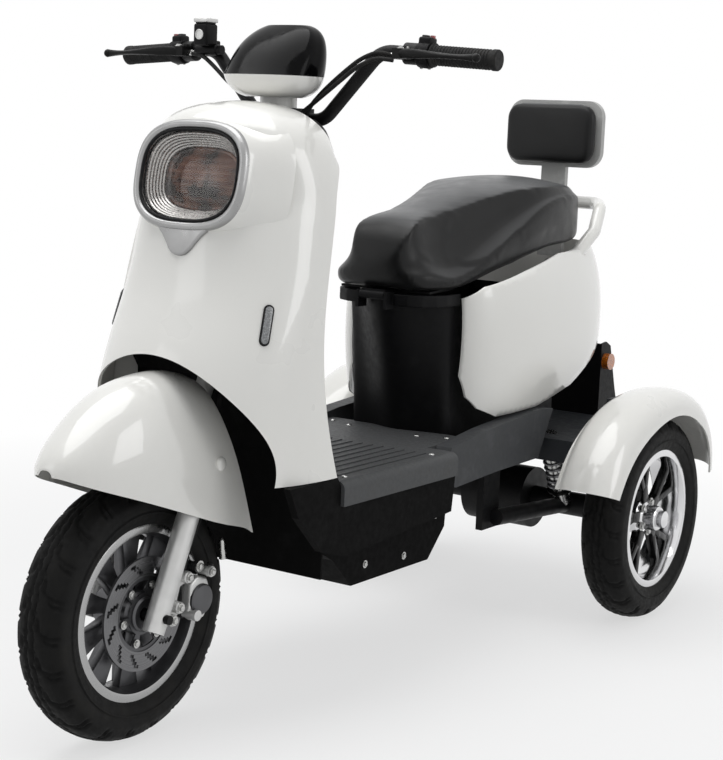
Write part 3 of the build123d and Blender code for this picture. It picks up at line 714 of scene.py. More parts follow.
def make_brake_disc():
    """Ventilated brake disc on its dark carrier."""
    bm = bmesh.new()

    def slotted(band, step):
        return not (1 <= band <= 4 and (step - band) % 8 in (0, 1))

    def windowed(band, step):
        return not (1 <= band <= 2 and step % 16 > 4)

    ring_grid(bm, DISC_BANDS, DISC_CELLS, FRONT_WHEEL, 0.040, slotted, 0.0038, 0)
    ring_grid(bm, CARRIER_BANDS, DISC_CELLS, FRONT_WHEEL, 0.0385, windowed, 0.003, 1)
    hub = [(0.034, 0.010), (0.041, 0.010), (0.044, 0.016), (0.044, 0.024), (0.041, 0.027), (0.034, 0.027)]
    lathe(bm, hub, FRONT_WHEEL, 48, closed=True, material=1)
    for number in range(6):
        angle = 2 * pi * (number * 16 + 2.5) / DISC_CELLS
        spot = FRONT_WHEEL + Vector((0.0405, DISC_BOLT_CIRCLE * cos(angle), DISC_BOLT_CIRCLE * sin(angle)))
        bolt_head(bm, spot, (1, 0, 0), 0.0045, 0.003, 2)
    return make_piece("front_brake_disc", bm, "front_wheel", ["steel", "alloy", "bolt"], ["brake_disc"])


class SCOOTER_OT_front_wheel(bpy.types.Operator):
    """Front rim and brake disc"""

    bl_idname = "scooter.front_wheel"
    bl_label = "Front wheel"

    def execute(self, context):
        make_front_rim()
        make_brake_disc()
        return {"FINISHED"}


def make_rear_rim(side, centre):
    """Rear rim: polished lip and barrel, gloss black spokes, large polished hub."""
    out = 1 if side == "left" else -1
    spokes = bpy.context.scene.scooter_wheels.rear_spokes
    bm = bmesh.new()
    make_rim_rings(bm, centre, 1)
    hub = [(-0.038, 0.012), (-0.038, 0.034), (0.004, 0.038), (0.010, 0.030), (0.014, 0.026), (0.036, 0.024),
           (0.038, 0.022), (0.038, 0.012)]
    lathe(bm, [(out * x, r) for x, r in hub], centre, 64, material=1)
    cap = [(0.036, 0.0), (0.053, 0.0), (0.053, 0.012), (0.050, 0.0165), (0.036, 0.0175)]
    lathe(bm, [(out * x, r) for x, r in cap], centre, 48, material=1)
    for number in range(spokes):
        angle = 2 * pi * number / spokes + REAR_SPOKE_START
        stem = [(-0.012, 0.030), (0.012, 0.030), (0.009, 0.062), (-0.009, 0.062)]
        slab(bm, stem, 0.020, wheel_face(centre, angle, out * 0.002 - 0.010), 0, 0.0025)
        for lean in (-1, 1):
            arm = [(lean * -0.004, 0.055), (lean * 0.010, 0.056), (lean * 0.030, 0.117), (lean * 0.017, 0.119)]
            slab(bm, arm, 0.018, wheel_face(centre, angle, out * 0.002 - 0.009), 0, 0.0025)
        between = angle + pi / spokes
        spot = centre + Vector((out * 0.012, -REAR_BOLT_CIRCLE * sin(between), REAR_BOLT_CIRCLE * cos(between)))
        bolt_head(bm, spot, (out, 0, 0), 0.006, 0.006, 2)
    return make_piece(f"rim_rear_{side}", bm, f"rear_wheel_{side}", ["gloss_black", "bright", "bolt"],
                      [f"rear_rim_{side}"])


class SCOOTER_OT_rear_wheels(bpy.types.Operator):
    """Rear rims with their hubs"""

    bl_idname = "scooter.rear_wheels"
    bl_label = "Rear wheels"

    def execute(self, context):
        for side, centre in REAR_WHEELS.items():
            make_rear_rim(side, centre)
        return {"FINISHED"}


# ---------------------------------------------------------------- covers that keep their made shape

NODE_FINISH = {
    "body": ("front_shield", "rear_fender_left", "rear_fender_right", "front_fender", "grab_rail", "display_cowl"),
    "trim": ("legshield", "seat_bucket", "tail_bracket", "seat_base"),
    "pale_grey": ("backrest_frame",),
    # The lower fairings and belly pan take the darker black as painted shade
    "shaded_lining": ("wheel_well", "lower_fairings", "belly_pan"),
    "mat": ("floor_board",),
    "cover": ("rear_side_covers",),
    "frame": ("main_frame", "rear_axle", "handlebar", "front_axle"),
    "deck": ("rear_deck",),
    "silver": ("fork",),
    "satin_black": ("brake_levers",),
    "bolt": ("rear_shocks",),
    "smoke": ("display_visor",),
    "amber": ("turn_signals",),
    "red": ("tail_lamp",),
    "rubber": ("control_cables", "brake_hose"),
    "case": ("battery",),
}


class SCOOTER_OT_covers(bpy.types.Operator):
    """Finishes of the shells, covers, frame and small parts"""

    bl_idname = "scooter.covers"
    bl_label = "Shells and frame"

    def execute(self, context):
        for word, names in NODE_FINISH.items():
            for name in names:
                mesh = nodes[name].data
                mesh.materials.clear()
                mesh.materials.append(finish(word))
        return {"FINISHED"}


# ---------------------------------------------------------------- rear body

PANEL_CORNER = ((757, 500, 766, 462), (766, 462, 786, 440), (786, 440, 822, 426))


def make_side_panel(word):
    """White side panel with its lower front corner rounded off."""
    bm = bmesh.new()
    bm.from_mesh(nodes[f"side_panel_{word}"].data)
    bmesh.ops.remove_doubles(bm, verts=bm.verts, dist=0.00002)
    for y0, z0, y1, z1 in PANEL_CORNER:
        whole = bm.verts[:] + bm.edges[:] + bm.faces[:]
        normal = Vector((0, z1 - z0, y0 - y1)).normalized()
        cut = bmesh.ops.bisect_plane(bm, geom=whole, plane_co=at(0, y0, z0), plane_no=normal,
                                     clear_outer=True)["geom_cut"]
        bmesh.ops.holes_fill(bm, edges=[e for e in cut if isinstance(e, bmesh.types.BMEdge)], sides=0)
    return make_piece(f"panel_{word}", bm, "chassis", ["body"], [f"side_panel_{word}"], 40.0)


COLLAR_FOOT, COLLAR_HEIGHT = 0.628, 0.022


def make_seat_collar():
    """Black collar round the top of the bucket, under the seat's nose."""
    bm = bmesh.new()
    outer = [(38, 650), (66, 655), (90, 668), (106, 690), (112, 716), (113, 760)]
    inner = [(107, 760), (105, 718), (98, 694), (84, 676), (62, 664), (38, 659)]
    for side in (-1, 1):
        outline = [(side * x / 1000, (y - AXLE_SETBACK) / 1000) for x, y in outer + inner]
        slab(bm, outline, COLLAR_HEIGHT, Matrix.Translation((0, 0, COLLAR_FOOT)), 0, 0.0025, 3)
    return make_piece("seat_collar", bm, "chassis", ["trim"], (), 40.0)


class SCOOTER_OT_rear_body(bpy.types.Operator):
    """Side panels and the collar of the seat bucket"""

    bl_idname = "scooter.rear_body"
    bl_label = "Rear body"

    def execute(self, context):
        make_side_panel("left")
        make_side_panel("right")
        make_seat_collar()
        return {"FINISHED"}


# ---------------------------------------------------------------- upholstery

CLOTH = {"quality": 5, "mass": 0.4, "tension_stiffness": 30, "compression_stiffness": 30,
         "bending_stiffness": 20, "use_pressure": True, "vertex_group_mass": "held"}
SETTLING_FRAMES = 20


def settle(piece, held_below):
    """Lets the cover of a pad swell over its filling, then fixes the shape."""
    seat = bpy.context.scene.scooter_seat
    context = bpy.context
    context.view_layer.objects.active = piece
    remesh = piece.modifiers.new("cover", "REMESH")
    remesh.mode = "VOXEL"
    remesh.voxel_size = seat.voxel
    with context.temp_override(object=piece):
        bpy.ops.object.modifier_apply(modifier="cover")
    rest = [v.co.copy() for v in piece.data.vertices]
    pinned = piece.vertex_groups.new(name="held")
    pinned.add([i for i, co in enumerate(rest) if co.z < held_below], 1.0, "REPLACE")
    cloth = piece.modifiers.new("filling", "CLOTH")
    for key, value in CLOTH.items():
        setattr(cloth.settings, key, value)
    cloth.settings.uniform_pressure_force = seat.pressure
    cloth.settings.effector_weights.gravity = 0
    cloth.point_cache.frame_start, cloth.point_cache.frame_end = 1, SETTLING_FRAMES
    for number in range(1, SETTLING_FRAMES + 1):
        context.scene.frame_set(number)
    moved = piece.evaluated_get(context.evaluated_depsgraph_get()).data
    swollen = [v.co.copy() for v in moved.vertices]
    piece.modifiers.remove(cloth)
    for v, start, end in zip(piece.data.vertices, rest, swollen):
        step = end - start
        v.co = start + step * min(1.0, seat.swell / max(step.length, 1e-9))
    context.scene.frame_set(1)


def refine(piece, levels):
    """Rounds a cage between its folds and keeps the result as the piece's mesh."""
    modifier = piece.modifiers.new("rounding", "SUBSURF")
    modifier.levels = modifier.render_levels = levels
    with bpy.context.temp_override(object=piece):
        bpy.ops.object.modifier_apply(modifier="rounding")


def soften(piece, rounds):
    """Evens out the settled cover of a pad."""
    bm = bmesh.new()
    bm.from_mesh(piece.data)
    for _ in range(rounds):
        bmesh.ops.smooth_vert(bm, verts=bm.verts, factor=0.5, use_axis_x=True, use_axis_y=True,
                              use_axis_z=True)
    bm.to_mesh(piece.data)
    bm.free()
    piece.data.shade_smooth()
    smooth = piece.modifiers.new("smooth", "SUBSURF")
    smooth.levels = smooth.render_levels = 1


SEAT_HELD_BELOW, HELD_NOWHERE = 0.70, -1.0
PAD_INSET, PAD_CORNER, PAD_EDGE = 0.004, 0.030, 0.012
FOLDS = ((3, 0.4), (5, 0.95), (7, 0.75), (-3, 0.4), (-5, 0.95), (-7, 0.75))
SEAT_STATIONS = (
    # y, underside, half width below, crease (x, z), top edge (x, z), crown
    (0.027, 0.682, 0.036, (0.040, 0.694), (0.030, 0.706), 0.708),
    (0.034, 0.664, 0.070, (0.076, 0.684), (0.052, 0.728), 0.733),
    (0.048, 0.657, 0.090, (0.094, 0.682), (0.060, 0.757), 0.761),
    (0.067, 0.656, 0.103, (0.100, 0.690), (0.063, 0.775), 0.780),
    (0.102, 0.656, 0.116, (0.120, 0.674), (0.058, 0.783), 0.791),
    (0.145, 0.658, 0.124, (0.128, 0.682), (0.060, 0.787), 0.799),
    (0.190, 0.672, 0.131, (0.136, 0.702), (0.066, 0.797), 0.811),
    (0.250, 0.688, 0.137, (0.142, 0.733), (0.076, 0.812), 0.827),
    (0.310, 0.699, 0.141, (0.146, 0.765), (0.090, 0.826), 0.840),
    (0.370, 0.711, 0.144, (0.149, 0.797), (0.112, 0.838), 0.850),
    (0.430, 0.724, 0.145, (0.149, 0.817), (0.128, 0.842), 0.857),
    (0.510, 0.726, 0.141, (0.143, 0.825), (0.126, 0.843), 0.859),
    (0.566, 0.730, 0.125, (0.126, 0.823), (0.108, 0.838), 0.851),
    (0.605, 0.736, 0.105, (0.103, 0.811), (0.086, 0.823), 0.832),
    (0.626, 0.750, 0.084, (0.082, 0.796), (0.068, 0.804), 0.810),
)


def seat_ring(bm, station):
    """One section of the seat: flat underside, flank up to the crease, scoop up to the top edge, flat crown."""
    y, low, wide, (cx, cz), (tx, tz), crown = station
    scoop = 0.17 * hypot(cx - tx, tz - cz)
    half = [(0.0, low), (wide * 0.60, low), (wide * 0.96, low + 0.002), (wide + 0.001, low + 0.012),
            (cx + 0.001, (low + 0.012 + cz) / 2), (cx, cz),
            ((cx + tx) / 2 - scoop, (cz + tz) / 2 - scoop * 0.8), (tx, tz),
            (tx * 0.55, (tz + crown * 2) / 3), (0.0, crown)]
    points = half + [(-x, z) for x, z in reversed(half[1:-1])]
    return [bm.verts.new((x, y, z)) for x, z in points]


def loft_rings(bm, rings):
    """Skins neighbouring closed rings and closes both ends."""
    count = len(rings[0])
    loops = []
    for ring in rings:
        loops.append([bm.edges.new((ring[i], ring[(i + 1) % count])) for i in range(count)])
    for first, second in zip(loops, loops[1:]):
        bmesh.ops.bridge_loops(bm, edges=first + second)
    bmesh.ops.holes_fill(bm, edges=loops[0] + loops[-1], sides=count)


def make_seat():
    """Long moulded seat with a facet along each flank and a scooped nose."""
    bm = bmesh.new()
    rings = [seat_ring(bm, s) for s in SEAT_STATIONS]
    loft_rings(bm, rings)
    folds = bm.edges.layers.float.new("crease_edge")
    for first, second in zip(rings, rings[1:]):
        for i, sharpness in FOLDS:
            bm.edges.get((first[i], second[i]))[folds] = sharpness
    piece = make_piece("seat", bm, "seat_lid", ["vinyl"], ["seat_cushion"], 180.0)
    refine(piece, 3)
    settle(piece, SEAT_HELD_BELOW)
    soften(piece, 2)
    return piece


def make_backrest():
    """Small backrest pad with rounded corners and edges."""
    low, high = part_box("backrest_pad")
    centre, half = (low + high) / 2, (high - low) / 2
    bm = bmesh.new()
    bmesh.ops.create_cube(bm, size=2.0)
    bmesh.ops.scale(bm, verts=bm.verts, vec=[span - PAD_INSET for span in half])
    corners = [e for e in bm.edges if abs((e.verts[0].co - e.verts[1].co).y) > 0.01]
    bmesh.ops.bevel(bm, geom=corners, offset=PAD_CORNER, affect="EDGES", segments=6, profile=0.5, material=-1)
    rims = [e for e in bm.edges if abs(e.verts[0].co.y - e.verts[1].co.y) < 1e-6
            and len(e.link_faces) == 2 and e.calc_face_angle() > 0.5]
    bmesh.ops.bevel(bm, geom=rims, offset=PAD_EDGE, affect="EDGES", segments=4, profile=0.5, material=-1)
    bmesh.ops.translate(bm, verts=bm.verts, vec=centre)
    piece = make_piece("backrest", bm, "chassis", ["vinyl"], ["backrest_pad"], 180.0)
    settle(piece, HELD_NOWHERE)
    soften(piece, 3)
    return piece


class SCOOTER_OT_seat(bpy.types.Operator):
    """Seat and backrest upholstery"""

    bl_idname = "scooter.seat"
    bl_label = "Upholstery"

    def execute(self, context):
        make_seat()
        make_backrest()
        return {"FINISHED"}


# ---------------------------------------------------------------- headlamp

LAMP_LEAN = radians(11.0)
LAMP_PLACE = Matrix.Translation(at(0, 132, 859)) @ Matrix((
    (1, 0, 0, 0), (0, sin(LAMP_LEAN), -cos(LAMP_LEAN), 0), (0, cos(LAMP_LEAN), sin(LAMP_LEAN), 0), (0, 0, 0, 1)))


LAMP_STEPS = 88
LAMP_ROUNDING = 0.70
GLASS_HALF_WIDTH, GLASS_HALF_HEIGHT = 91.2, 67.8
GLASS_DOME = 5.5
BOWL_RIBS = 7


def lamp_ring(bm, half_width, half_height, depth):
    """A rounded-square ring in front of the lamp's plane, in millimetres."""
    made = bmesh.ops.create_circle(bm, cap_ends=False, segments=LAMP_STEPS, radius=1.0)["verts"]
    for v in made:
        x, y = (abs(c) ** LAMP_ROUNDING * (1 if c > 0 else -1) for c in v.co.xy)
        v.co = Vector((half_width * x, half_height * y, depth)) / 1000
    return made


def lamp_skin(bm, sections, material):
    """Skins rings of the lamp and returns the last one."""
    rings = [lamp_ring(bm, *section) for section in sections]
    skin(bm, rings, material)
    return rings[-1]


def make_lamp_ring():
    """White flare out of the shield, satin ring, tab below it and the dark gasket round the glass."""
    bm = bmesh.new()
    flare = [(93, 70, -62), (150, 116, -62), (142, 108, -47), (131, 100, -33), (121, 93.5, -20), (114, 89, -9),
             (110.5, 86.8, -3), (109.5, 86, 0)]
    ring = [(109.5, 86, 0), (109.2, 85.7, 4), (107.5, 84, 8.2), (104.5, 81, 10.8), (101, 77.5, 11.2),
            (98, 74.5, 9.6), (96, 72.5, 6)]
    gasket = [(96, 72.5, 6), (95.5, 72, 8.8), (93.5, 70, 9.4), (91.5, 68, 7.5), (91, 67.5, 0), (93, 70, -62)]
    lamp_skin(bm, flare, 0)
    lamp_skin(bm, ring, 1)
    lamp_skin(bm, gasket, 2)
    bmesh.ops.remove_doubles(bm, verts=bm.verts, dist=0.00002)
    edge = [(58, -72), (50, -82), (39, -92), (29, -104), (22, -114), (14, -121.5), (5, -124.5)]
    tab = [(x / 1000, y / 1000) for x, y in edge] + [(-x / 1000, y / 1000) for x, y in reversed(edge)]
    bmesh.ops.transform(bm, matrix=LAMP_PLACE, verts=bm.verts)
    slab(bm, tab, 0.022, LAMP_PLACE @ Matrix.Translation((0, 0, -0.016)), 1, 0.004, 4)
    return make_piece("headlamp_surround", bm, "chassis", ["body", "ring", "gasket"],
                      ["headlamp_bezel"], 50.0)


def make_lamp_bowl():
    """Bright bowl stepped in ribs down to a dark inner shade."""
    bm = bmesh.new()
    steps = []
    for i in range(BOWL_RIBS):
        wide, deep = 90.5 - 20 * i / BOWL_RIBS, -1 - 28 * i / BOWL_RIBS
        steps += [(wide, wide - 23.5, deep), (wide - 0.9, wide - 24.4, deep - 2.6)]
    lamp_skin(bm, steps, 0)
    wide, high, deep = steps[-1]
    hollow = ((1.0, 0.0), (0.97, -2.0), (0.90, -3.0), (0.70, 3.0), (0.40, 7.0), (0.10, 8.5))
    cap(bm, lamp_skin(bm, [(wide * k, high * k, deep + lift) for k, lift in hollow], 1))
    cap(bm, lamp_skin(bm, [steps[0], (91, 67.5, -3), (75, 52, -36), (2, 2, -37)], 0))
    bmesh.ops.transform(bm, matrix=LAMP_PLACE, verts=bm.verts)
    return make_piece("headlamp_bowl", bm, "chassis", ["bowl", "shade"], ["headlamp_reflector"],
                      25.0)


def make_lamp_glass():
    """Domed clear lens."""
    bm = bmesh.new()
    shares = (1.0, 0.92, 0.8, 0.6, 0.4, 0.2, 0.02)

    def faces(base, order):
        return [lamp_ring(bm, GLASS_HALF_WIDTH * k, GLASS_HALF_HEIGHT * k, base + GLASS_DOME * (1 - k * k))
                for k in order]

    front, back = faces(6.0, shares), faces(3.6, shares[::-1])
    skin(bm, front)
    skin(bm, back)
    skin(bm, [front[0], back[-1]])
    cap(bm, front[-1])
    cap(bm, back[0])
    bmesh.ops.transform(bm, matrix=LAMP_PLACE, verts=bm.verts)
    return make_piece("headlamp_glass", bm, "chassis", ["lens"], ["headlamp_lens"], 50.0)


def capsule(length, width, steps=10):
    """Outline of a bar with round ends, along V."""
    half, r = length / 2 - width / 2, width / 2
    top = [(r * cos(pi * i / steps), half + r * sin(pi * i / steps)) for i in range(steps + 1)]
    return top + [(-u, -v) for u, v in top]


# Side reflector: place in millimetres, way along it and way out of the shield, for the left one
REFLECTOR_PLACE, REFLECTOR_RUN, REFLECTOR_WAY = (147.2, 139.9, 641), (-1.4, 13.8, 54.8), (0.67, -0.72, 0.2)
REFLECTOR_RIM, REFLECTOR_LENS = (0.064, 0.0165), (0.058, 0.0115)
RIB_HALF_WIDTH, RIB_HALF_HEIGHT, RIB_PITCH = 0.0048, 0.0006, 0.0046


def make_side_reflectors():
    """A ribbed capsule reflector in a dark rim on each flank of the shield."""
    mesh = nodes["front_shield"].data
    shell = BVHTree.FromPolygons([v.co for v in mesh.vertices], [list(f.vertices) for f in mesh.polygons])
    rib = [(u * RIB_HALF_WIDTH, v * RIB_HALF_HEIGHT) for u, v in ((-1, -1), (1, -1), (1, 1), (-1, 1))]
    bm = bmesh.new()
    for side in (-1, 1):
        centre, reach, outward = [Vector((side * x, y, z)) for x, y, z in
                                  (REFLECTOR_PLACE, REFLECTOR_RUN, REFLECTOR_WAY)]
        centre, reach, outward = at(*centre), reach.normalized() * 0.026, outward.normalized()

        def on_shield(point):
            return shell.ray_cast(point + outward * 0.05, -outward)[0]

        low, spot, high = [on_shield(centre + reach * k) for k in (-1, 0, 1)]
        along = (high - low).normalized()
        width = outward.cross(along).normalized() * 0.006
        left, right = [on_shield(spot + width * k) for k in (-1, 1)]
        normal = (right - left).cross(along)
        normal = (normal if normal.dot(outward) > 0 else -normal).normalized()
        spot = max((low, spot, high), key=lambda point: (point - spot).dot(normal)) * 0.5 + spot * 0.5
        spot -= along * (spot - centre).dot(along)
        turned = Matrix((along.cross(normal), along, normal)).transposed().to_4x4()
        place = Matrix.Translation(spot) @ turned
        slab(bm, capsule(*REFLECTOR_RIM), 0.0060, place @ Matrix.Translation((0, 0, -0.0035)), 1, 0.0012)
        slab(bm, capsule(*REFLECTOR_LENS), 0.0062, place @ Matrix.Translation((0, 0, -0.0020)), 0, 0.0016)
        for number in range(-5, 6):
            row = Matrix.Translation((0, number * RIB_PITCH, 0.0038))
            slab(bm, rib, 0.0008, place @ row, 0, 0.0003, 1)
    return make_piece("side_reflectors", bm, "chassis", ["reflector", "gasket"],
                      ["shield_reflectors"], 40.0)


class SCOOTER_OT_lamps(bpy.types.Operator):
    """Headlamp with its surround, bowl and glass, and the side reflectors"""

    bl_idname = "scooter.lamps"
    bl_label = "Lamps"

    def execute(self, context):
        make_lamp_ring()
        make_lamp_bowl()
        make_lamp_glass()
        make_side_reflectors()
        return {"FINISHED"}


# ---------------------------------------------------------------- handlebar controls

# Millimetres: where the straight end of the bar starts, its run to the tip, and what sits on it from where
BAR_BEND, BAR_RUN = (168, 388, 1062), (206, 12.4, -11.4)
GRIP_START, SWITCH_START = 262, 238


def bar_place(side, x):
    """Place on a bar end, with local Z outwards along it and local Y upwards."""
    (x0, y0, z0), (dx, dy, dz) = BAR_BEND, BAR_RUN
    share = (x - x0) / dx
    point = at(side * x, y0 + dy * share, z0 + dz * share)
    along = Vector((side * dx, dy, dz)).normalized()
    across = Vector((0, 0, 1)).cross(along).normalized()
    turned = Matrix((across, along.cross(across), along)).transposed().to_4x4()
    return Matrix.Translation(point) @ turned


def make_grips():
    """Ribbed rubber grips with a flange and an end plug."""
    bm = bmesh.new()
    for side in (-1, 1):
        outline = [(0.0112, 0.0), (0.0185, 0.0), (0.0188, 0.003), (0.0160, 0.005)]
        for number in range(18):
            start = 0.006 + number * 0.0054
            outline += [(0.0158, start), (0.0160, start + 0.0012), (0.0149, start + 0.0022),
                        (0.0149, start + 0.0040)]
        outline += [(0.0158, 0.1040), (0.0165, 0.1060), (0.0165, 0.1130), (0.0150, 0.1150), (0.0070, 0.1152),
                    (0.0, 0.1152)]
        turn(bm, outline, bar_place(side, GRIP_START), 36)
    return make_piece("ribbed_grips", bm, "steering", ["rubber"], ["hand_grips"], 30.0)


def make_switches():
    """Switch housings with their rocker, push buttons and clamp screws."""
    bm = bmesh.new()
    for side in (-1, 1):
        place = bar_place(side, SWITCH_START)
        turn(bm, [(0.0112, 0.0), (0.0185, 0.0), (0.0205, 0.002), (0.0212, 0.006), (0.0212, 0.018),
                  (0.0205, 0.022), (0.0112, 0.024)], place, 40)
        brick(bm, (-0.012, 0.008, 0.001), (0.012, 0.027, 0.023), 0.004, 0, place)
        brick(bm, (-0.006, 0.024, 0.004), (0.006, 0.0300, 0.013), 0.0015, 1, place)
        top = Matrix.Translation((0.004, 0.024, 0.0185)) @ Matrix.Rotation(-pi / 2, 4, "X")
        drum(bm, 0.0042, 0.006, place @ top, 20, 0.0008, material=2)
        front = Matrix.Translation((-side * 0.016, 0.004, 0.012)) @ Matrix.Rotation(-side * pi / 2, 4, "Y")
        drum(bm, 0.0050, 0.008, place @ front, 20, 0.001, material=1)
        for low in (0.005, 0.019):
            screw_head(bm, place @ Vector((0.0, -0.0212, low)), place.to_3x3() @ Vector((0, -1, 0)), 0.0028, 3)
    return make_piece("switches", bm, "steering", ["trim", "gloss_black", "red", "bolt"],
                      ["switch_housing"], 35.0)


def make_lever_fittings():
    """Clamp bolts, pivots, adjusters, mirror bosses and ball ends of the brake levers."""
    bm = bmesh.new()
    for side in (-1, 1):
        bolt_head(bm, at(side * 225, 376, 1066), (0, 0, 1), 0.0035, 0.003, 1)
        bolt_head(bm, at(side * 225, 358, 1065), (0, 0, 1), 0.0045, 0.0035, 1)
        boss = Matrix.Translation(at(side * 219, 372, 1065))
        turn(bm, [(0.0036, -0.004), (0.0036, 0.004), (0.0065, 0.004), (0.0070, 0.003), (0.0070, -0.001)], boss,
             24, 0)
        adjuster = facing(at(side * 212, 371, 1055), (-side, -0.05, 0.05))
        turn(bm, [(0.0, 0.0), (0.0048, 0.0), (0.0048, 0.006), (0.0036, 0.007), (0.0036, 0.013), (0.0, 0.013)],
             adjuster, 16, 1)
        ball = bmesh.ops.create_uvsphere(bm, u_segments=20, v_segments=12, radius=0.0068)["verts"]
        bmesh.ops.translate(bm, verts=ball, vec=at(side * 371, 341, 1051))
        for number in range(2):
            bolt_head(bm, at(side * (217 + 12 * number), 405, 1058), (0, 1, 0.1), 0.0028, 0.003, 1)
    return make_piece("lever_fittings", bm, "steering", ["satin_black", "bolt"], (), 35.0)


def make_reservoir():
    """Brake fluid reservoir: black body, bright lid with screws, sight glass and master cylinder."""
    low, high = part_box("master_cylinder")
    bm = bmesh.new()
    x0, x1, y0, y1 = low.x + 0.0005, high.x - 0.0005, low.y + 0.0005, low.y + 0.0315
    top = high.z
    brick(bm, (x0, y0, top - 0.046), (x1, y1, top - 0.010), 0.004, 0)
    brick(bm, (x0 + 0.003, y0 + 0.003, top - 0.010), (x1 - 0.003, y1 - 0.003, top - 0.008), 0.0005, 3)
    brick(bm, (x0, y0, top - 0.008), (x1, y1, top - 0.001), 0.002, 1)
    for x in (x0 + 0.006, x1 - 0.006):
        screw_head(bm, Vector((x, (y0 + y1) / 2, top - 0.001)), (0, 0, 1), 0.0022, 2)
    glass = facing(Vector(((x0 + x1) / 2, y0, top - 0.028)), (0, -1, 0))
    turn(bm, [(0.0085, 0.0), (0.0085, 0.0015), (0.0070, 0.0022), (0.0066, 0.0010), (0.0, 0.0010)], glass, 28, 1)
    barrel = facing(Vector((x0 - 0.010, y1 - 0.004, top - 0.052)), (1, 0.05, 0))
    turn(bm, [(0.0, 0.0), (0.0085, 0.0), (0.0095, 0.002), (0.0095, 0.040), (0.0080, 0.042), (0.0080, 0.050),
              (0.0, 0.050)], barrel, 28, 0)
    brick(bm, (x0 + 0.008, y1 - 0.010, top - 0.058), (x1 - 0.008, high.y - 0.0005, top - 0.036), 0.003, 0)
    return make_piece("brake_reservoir", bm, "steering", ["trim", "silver", "bolt", "gasket"],
                      ["master_cylinder"], 35.0)


class SCOOTER_OT_controls(bpy.types.Operator):
    """Grips, switches, lever fittings and brake reservoir"""

    bl_idname = "scooter.controls"
    bl_label = "Controls"

    def execute(self, context):
        make_grips()
        make_switches()
        make_lever_fittings()
        make_reservoir()
        return {"FINISHED"}


# ---------------------------------------------------------------- brake caliper and suspension

def side_slab(bm, outline, x0, x1, bevel):
    """A plate drawn in millimetres as seen from the left, between two distances from the middle."""
    place = Matrix(((0, 0, 1, x0 / 1000), (1, 0, 0, -AXLE_SETBACK / 1000), (0, 1, 0, 0), (0, 0, 0, 1)))
    slab(bm, [(y / 1000, z / 1000) for y, z in outline], (x1 - x0) / 1000, place, 0, bevel, 3)


def make_caliper():
    """Sliding caliper over the disc's rear edge, with its bracket, cover, pins, boots and banjo."""
    bm = bmesh.new()
    side_slab(bm, [(80, 184), (94, 174), (116, 176), (129, 192), (131, 220), (122, 240), (100, 246), (84, 236)],
              45, 61, 0.004)
    side_slab(bm, [(88, 186), (110, 186), (110, 226), (88, 230)], 30, 48, 0.003)
    side_slab(bm, [(66, 184), (92, 180), (110, 190), (108, 224), (84, 234), (66, 226)], 26, 34, 0.003)
    cover = facing(at(60, 107, 208), (1, 0, 0))
    turn(bm, [(0.0245, 0.0), (0.0245, 0.004), (0.0225, 0.0065), (0.0150, 0.0078), (0.0, 0.0082)], cover, 48, 1)
    bracket = [(14, 236), (26, 262), (62, 268), (80, 256), (80, 238), (66, 234), (60, 216), (66, 196), (50, 178),
               (26, 176), (12, 196)]
    side_slab(bm, bracket, 46, 55, 0.003)
    for y, z in ((72, 250), (53, 206), (38, 189)):
        turn(bm, [(0.0, 0.0), (0.0095, 0.0), (0.0095, 0.011), (0.0080, 0.013), (0.0, 0.013)],
             facing(at(54, y, z), (1, 0, 0)), 28, 0)
        bolt_head(bm, at(67, y, z), (1, 0, 0), 0.0052, 0.005, 2)
    for y, z in ((117, 252), (86, 188)):
        turn(bm, [(0.0, 0.0), (0.0070, 0.0), (0.0070, 0.022), (0.0085, 0.023), (0.0085, 0.030), (0.0, 0.031)],
             facing(at(44, y, z), (1, 0, 0)), 28, 0)
        pleats = [(0.0100 if i % 2 else 0.0082, 0.002 + i * 0.0018) for i in range(6)]
        boot = [(0.0072, 0.0), *pleats, (0.0072, 0.014)]
        turn(bm, boot, facing(at(32, y, z), (1, 0, 0)), 28, 3)
    bolt_head(bm, at(76, 117, 252), (1, 0, 0), 0.0045, 0.003, 2)
    turn(bm, [(0.0, 0.0), (0.0032, 0.0), (0.0032, 0.012), (0.0050, 0.013), (0.0050, 0.021), (0.0, 0.022)],
         facing(at(58, 121, 242), (0.15, 0.35, 0.9)), 20, 3)
    low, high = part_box("brake_hose")
    end = Vector(((low.x + high.x) / 2, high.y - 0.004, low.z + 0.012))
    banjo = facing(end, (0, -0.1, 1))
    turn(bm, [(0.0040, -0.012), (0.0062, -0.012), (0.0062, 0.002), (0.0052, 0.004), (0.0052, 0.018),
              (0.0040, 0.020)], banjo, 24, 2)
    bolt_head(bm, at(63, 100, 262), (1, 0, 0), 0.006, 0.005, 2)
    return make_piece("front_caliper", bm, "steering", ["silver", "alloy", "bolt", "gasket"],
                      ["brake_caliper"], 35.0)


COILS, COIL_RADIUS, WIRE_RADIUS = 7, 0.0215, 0.0030


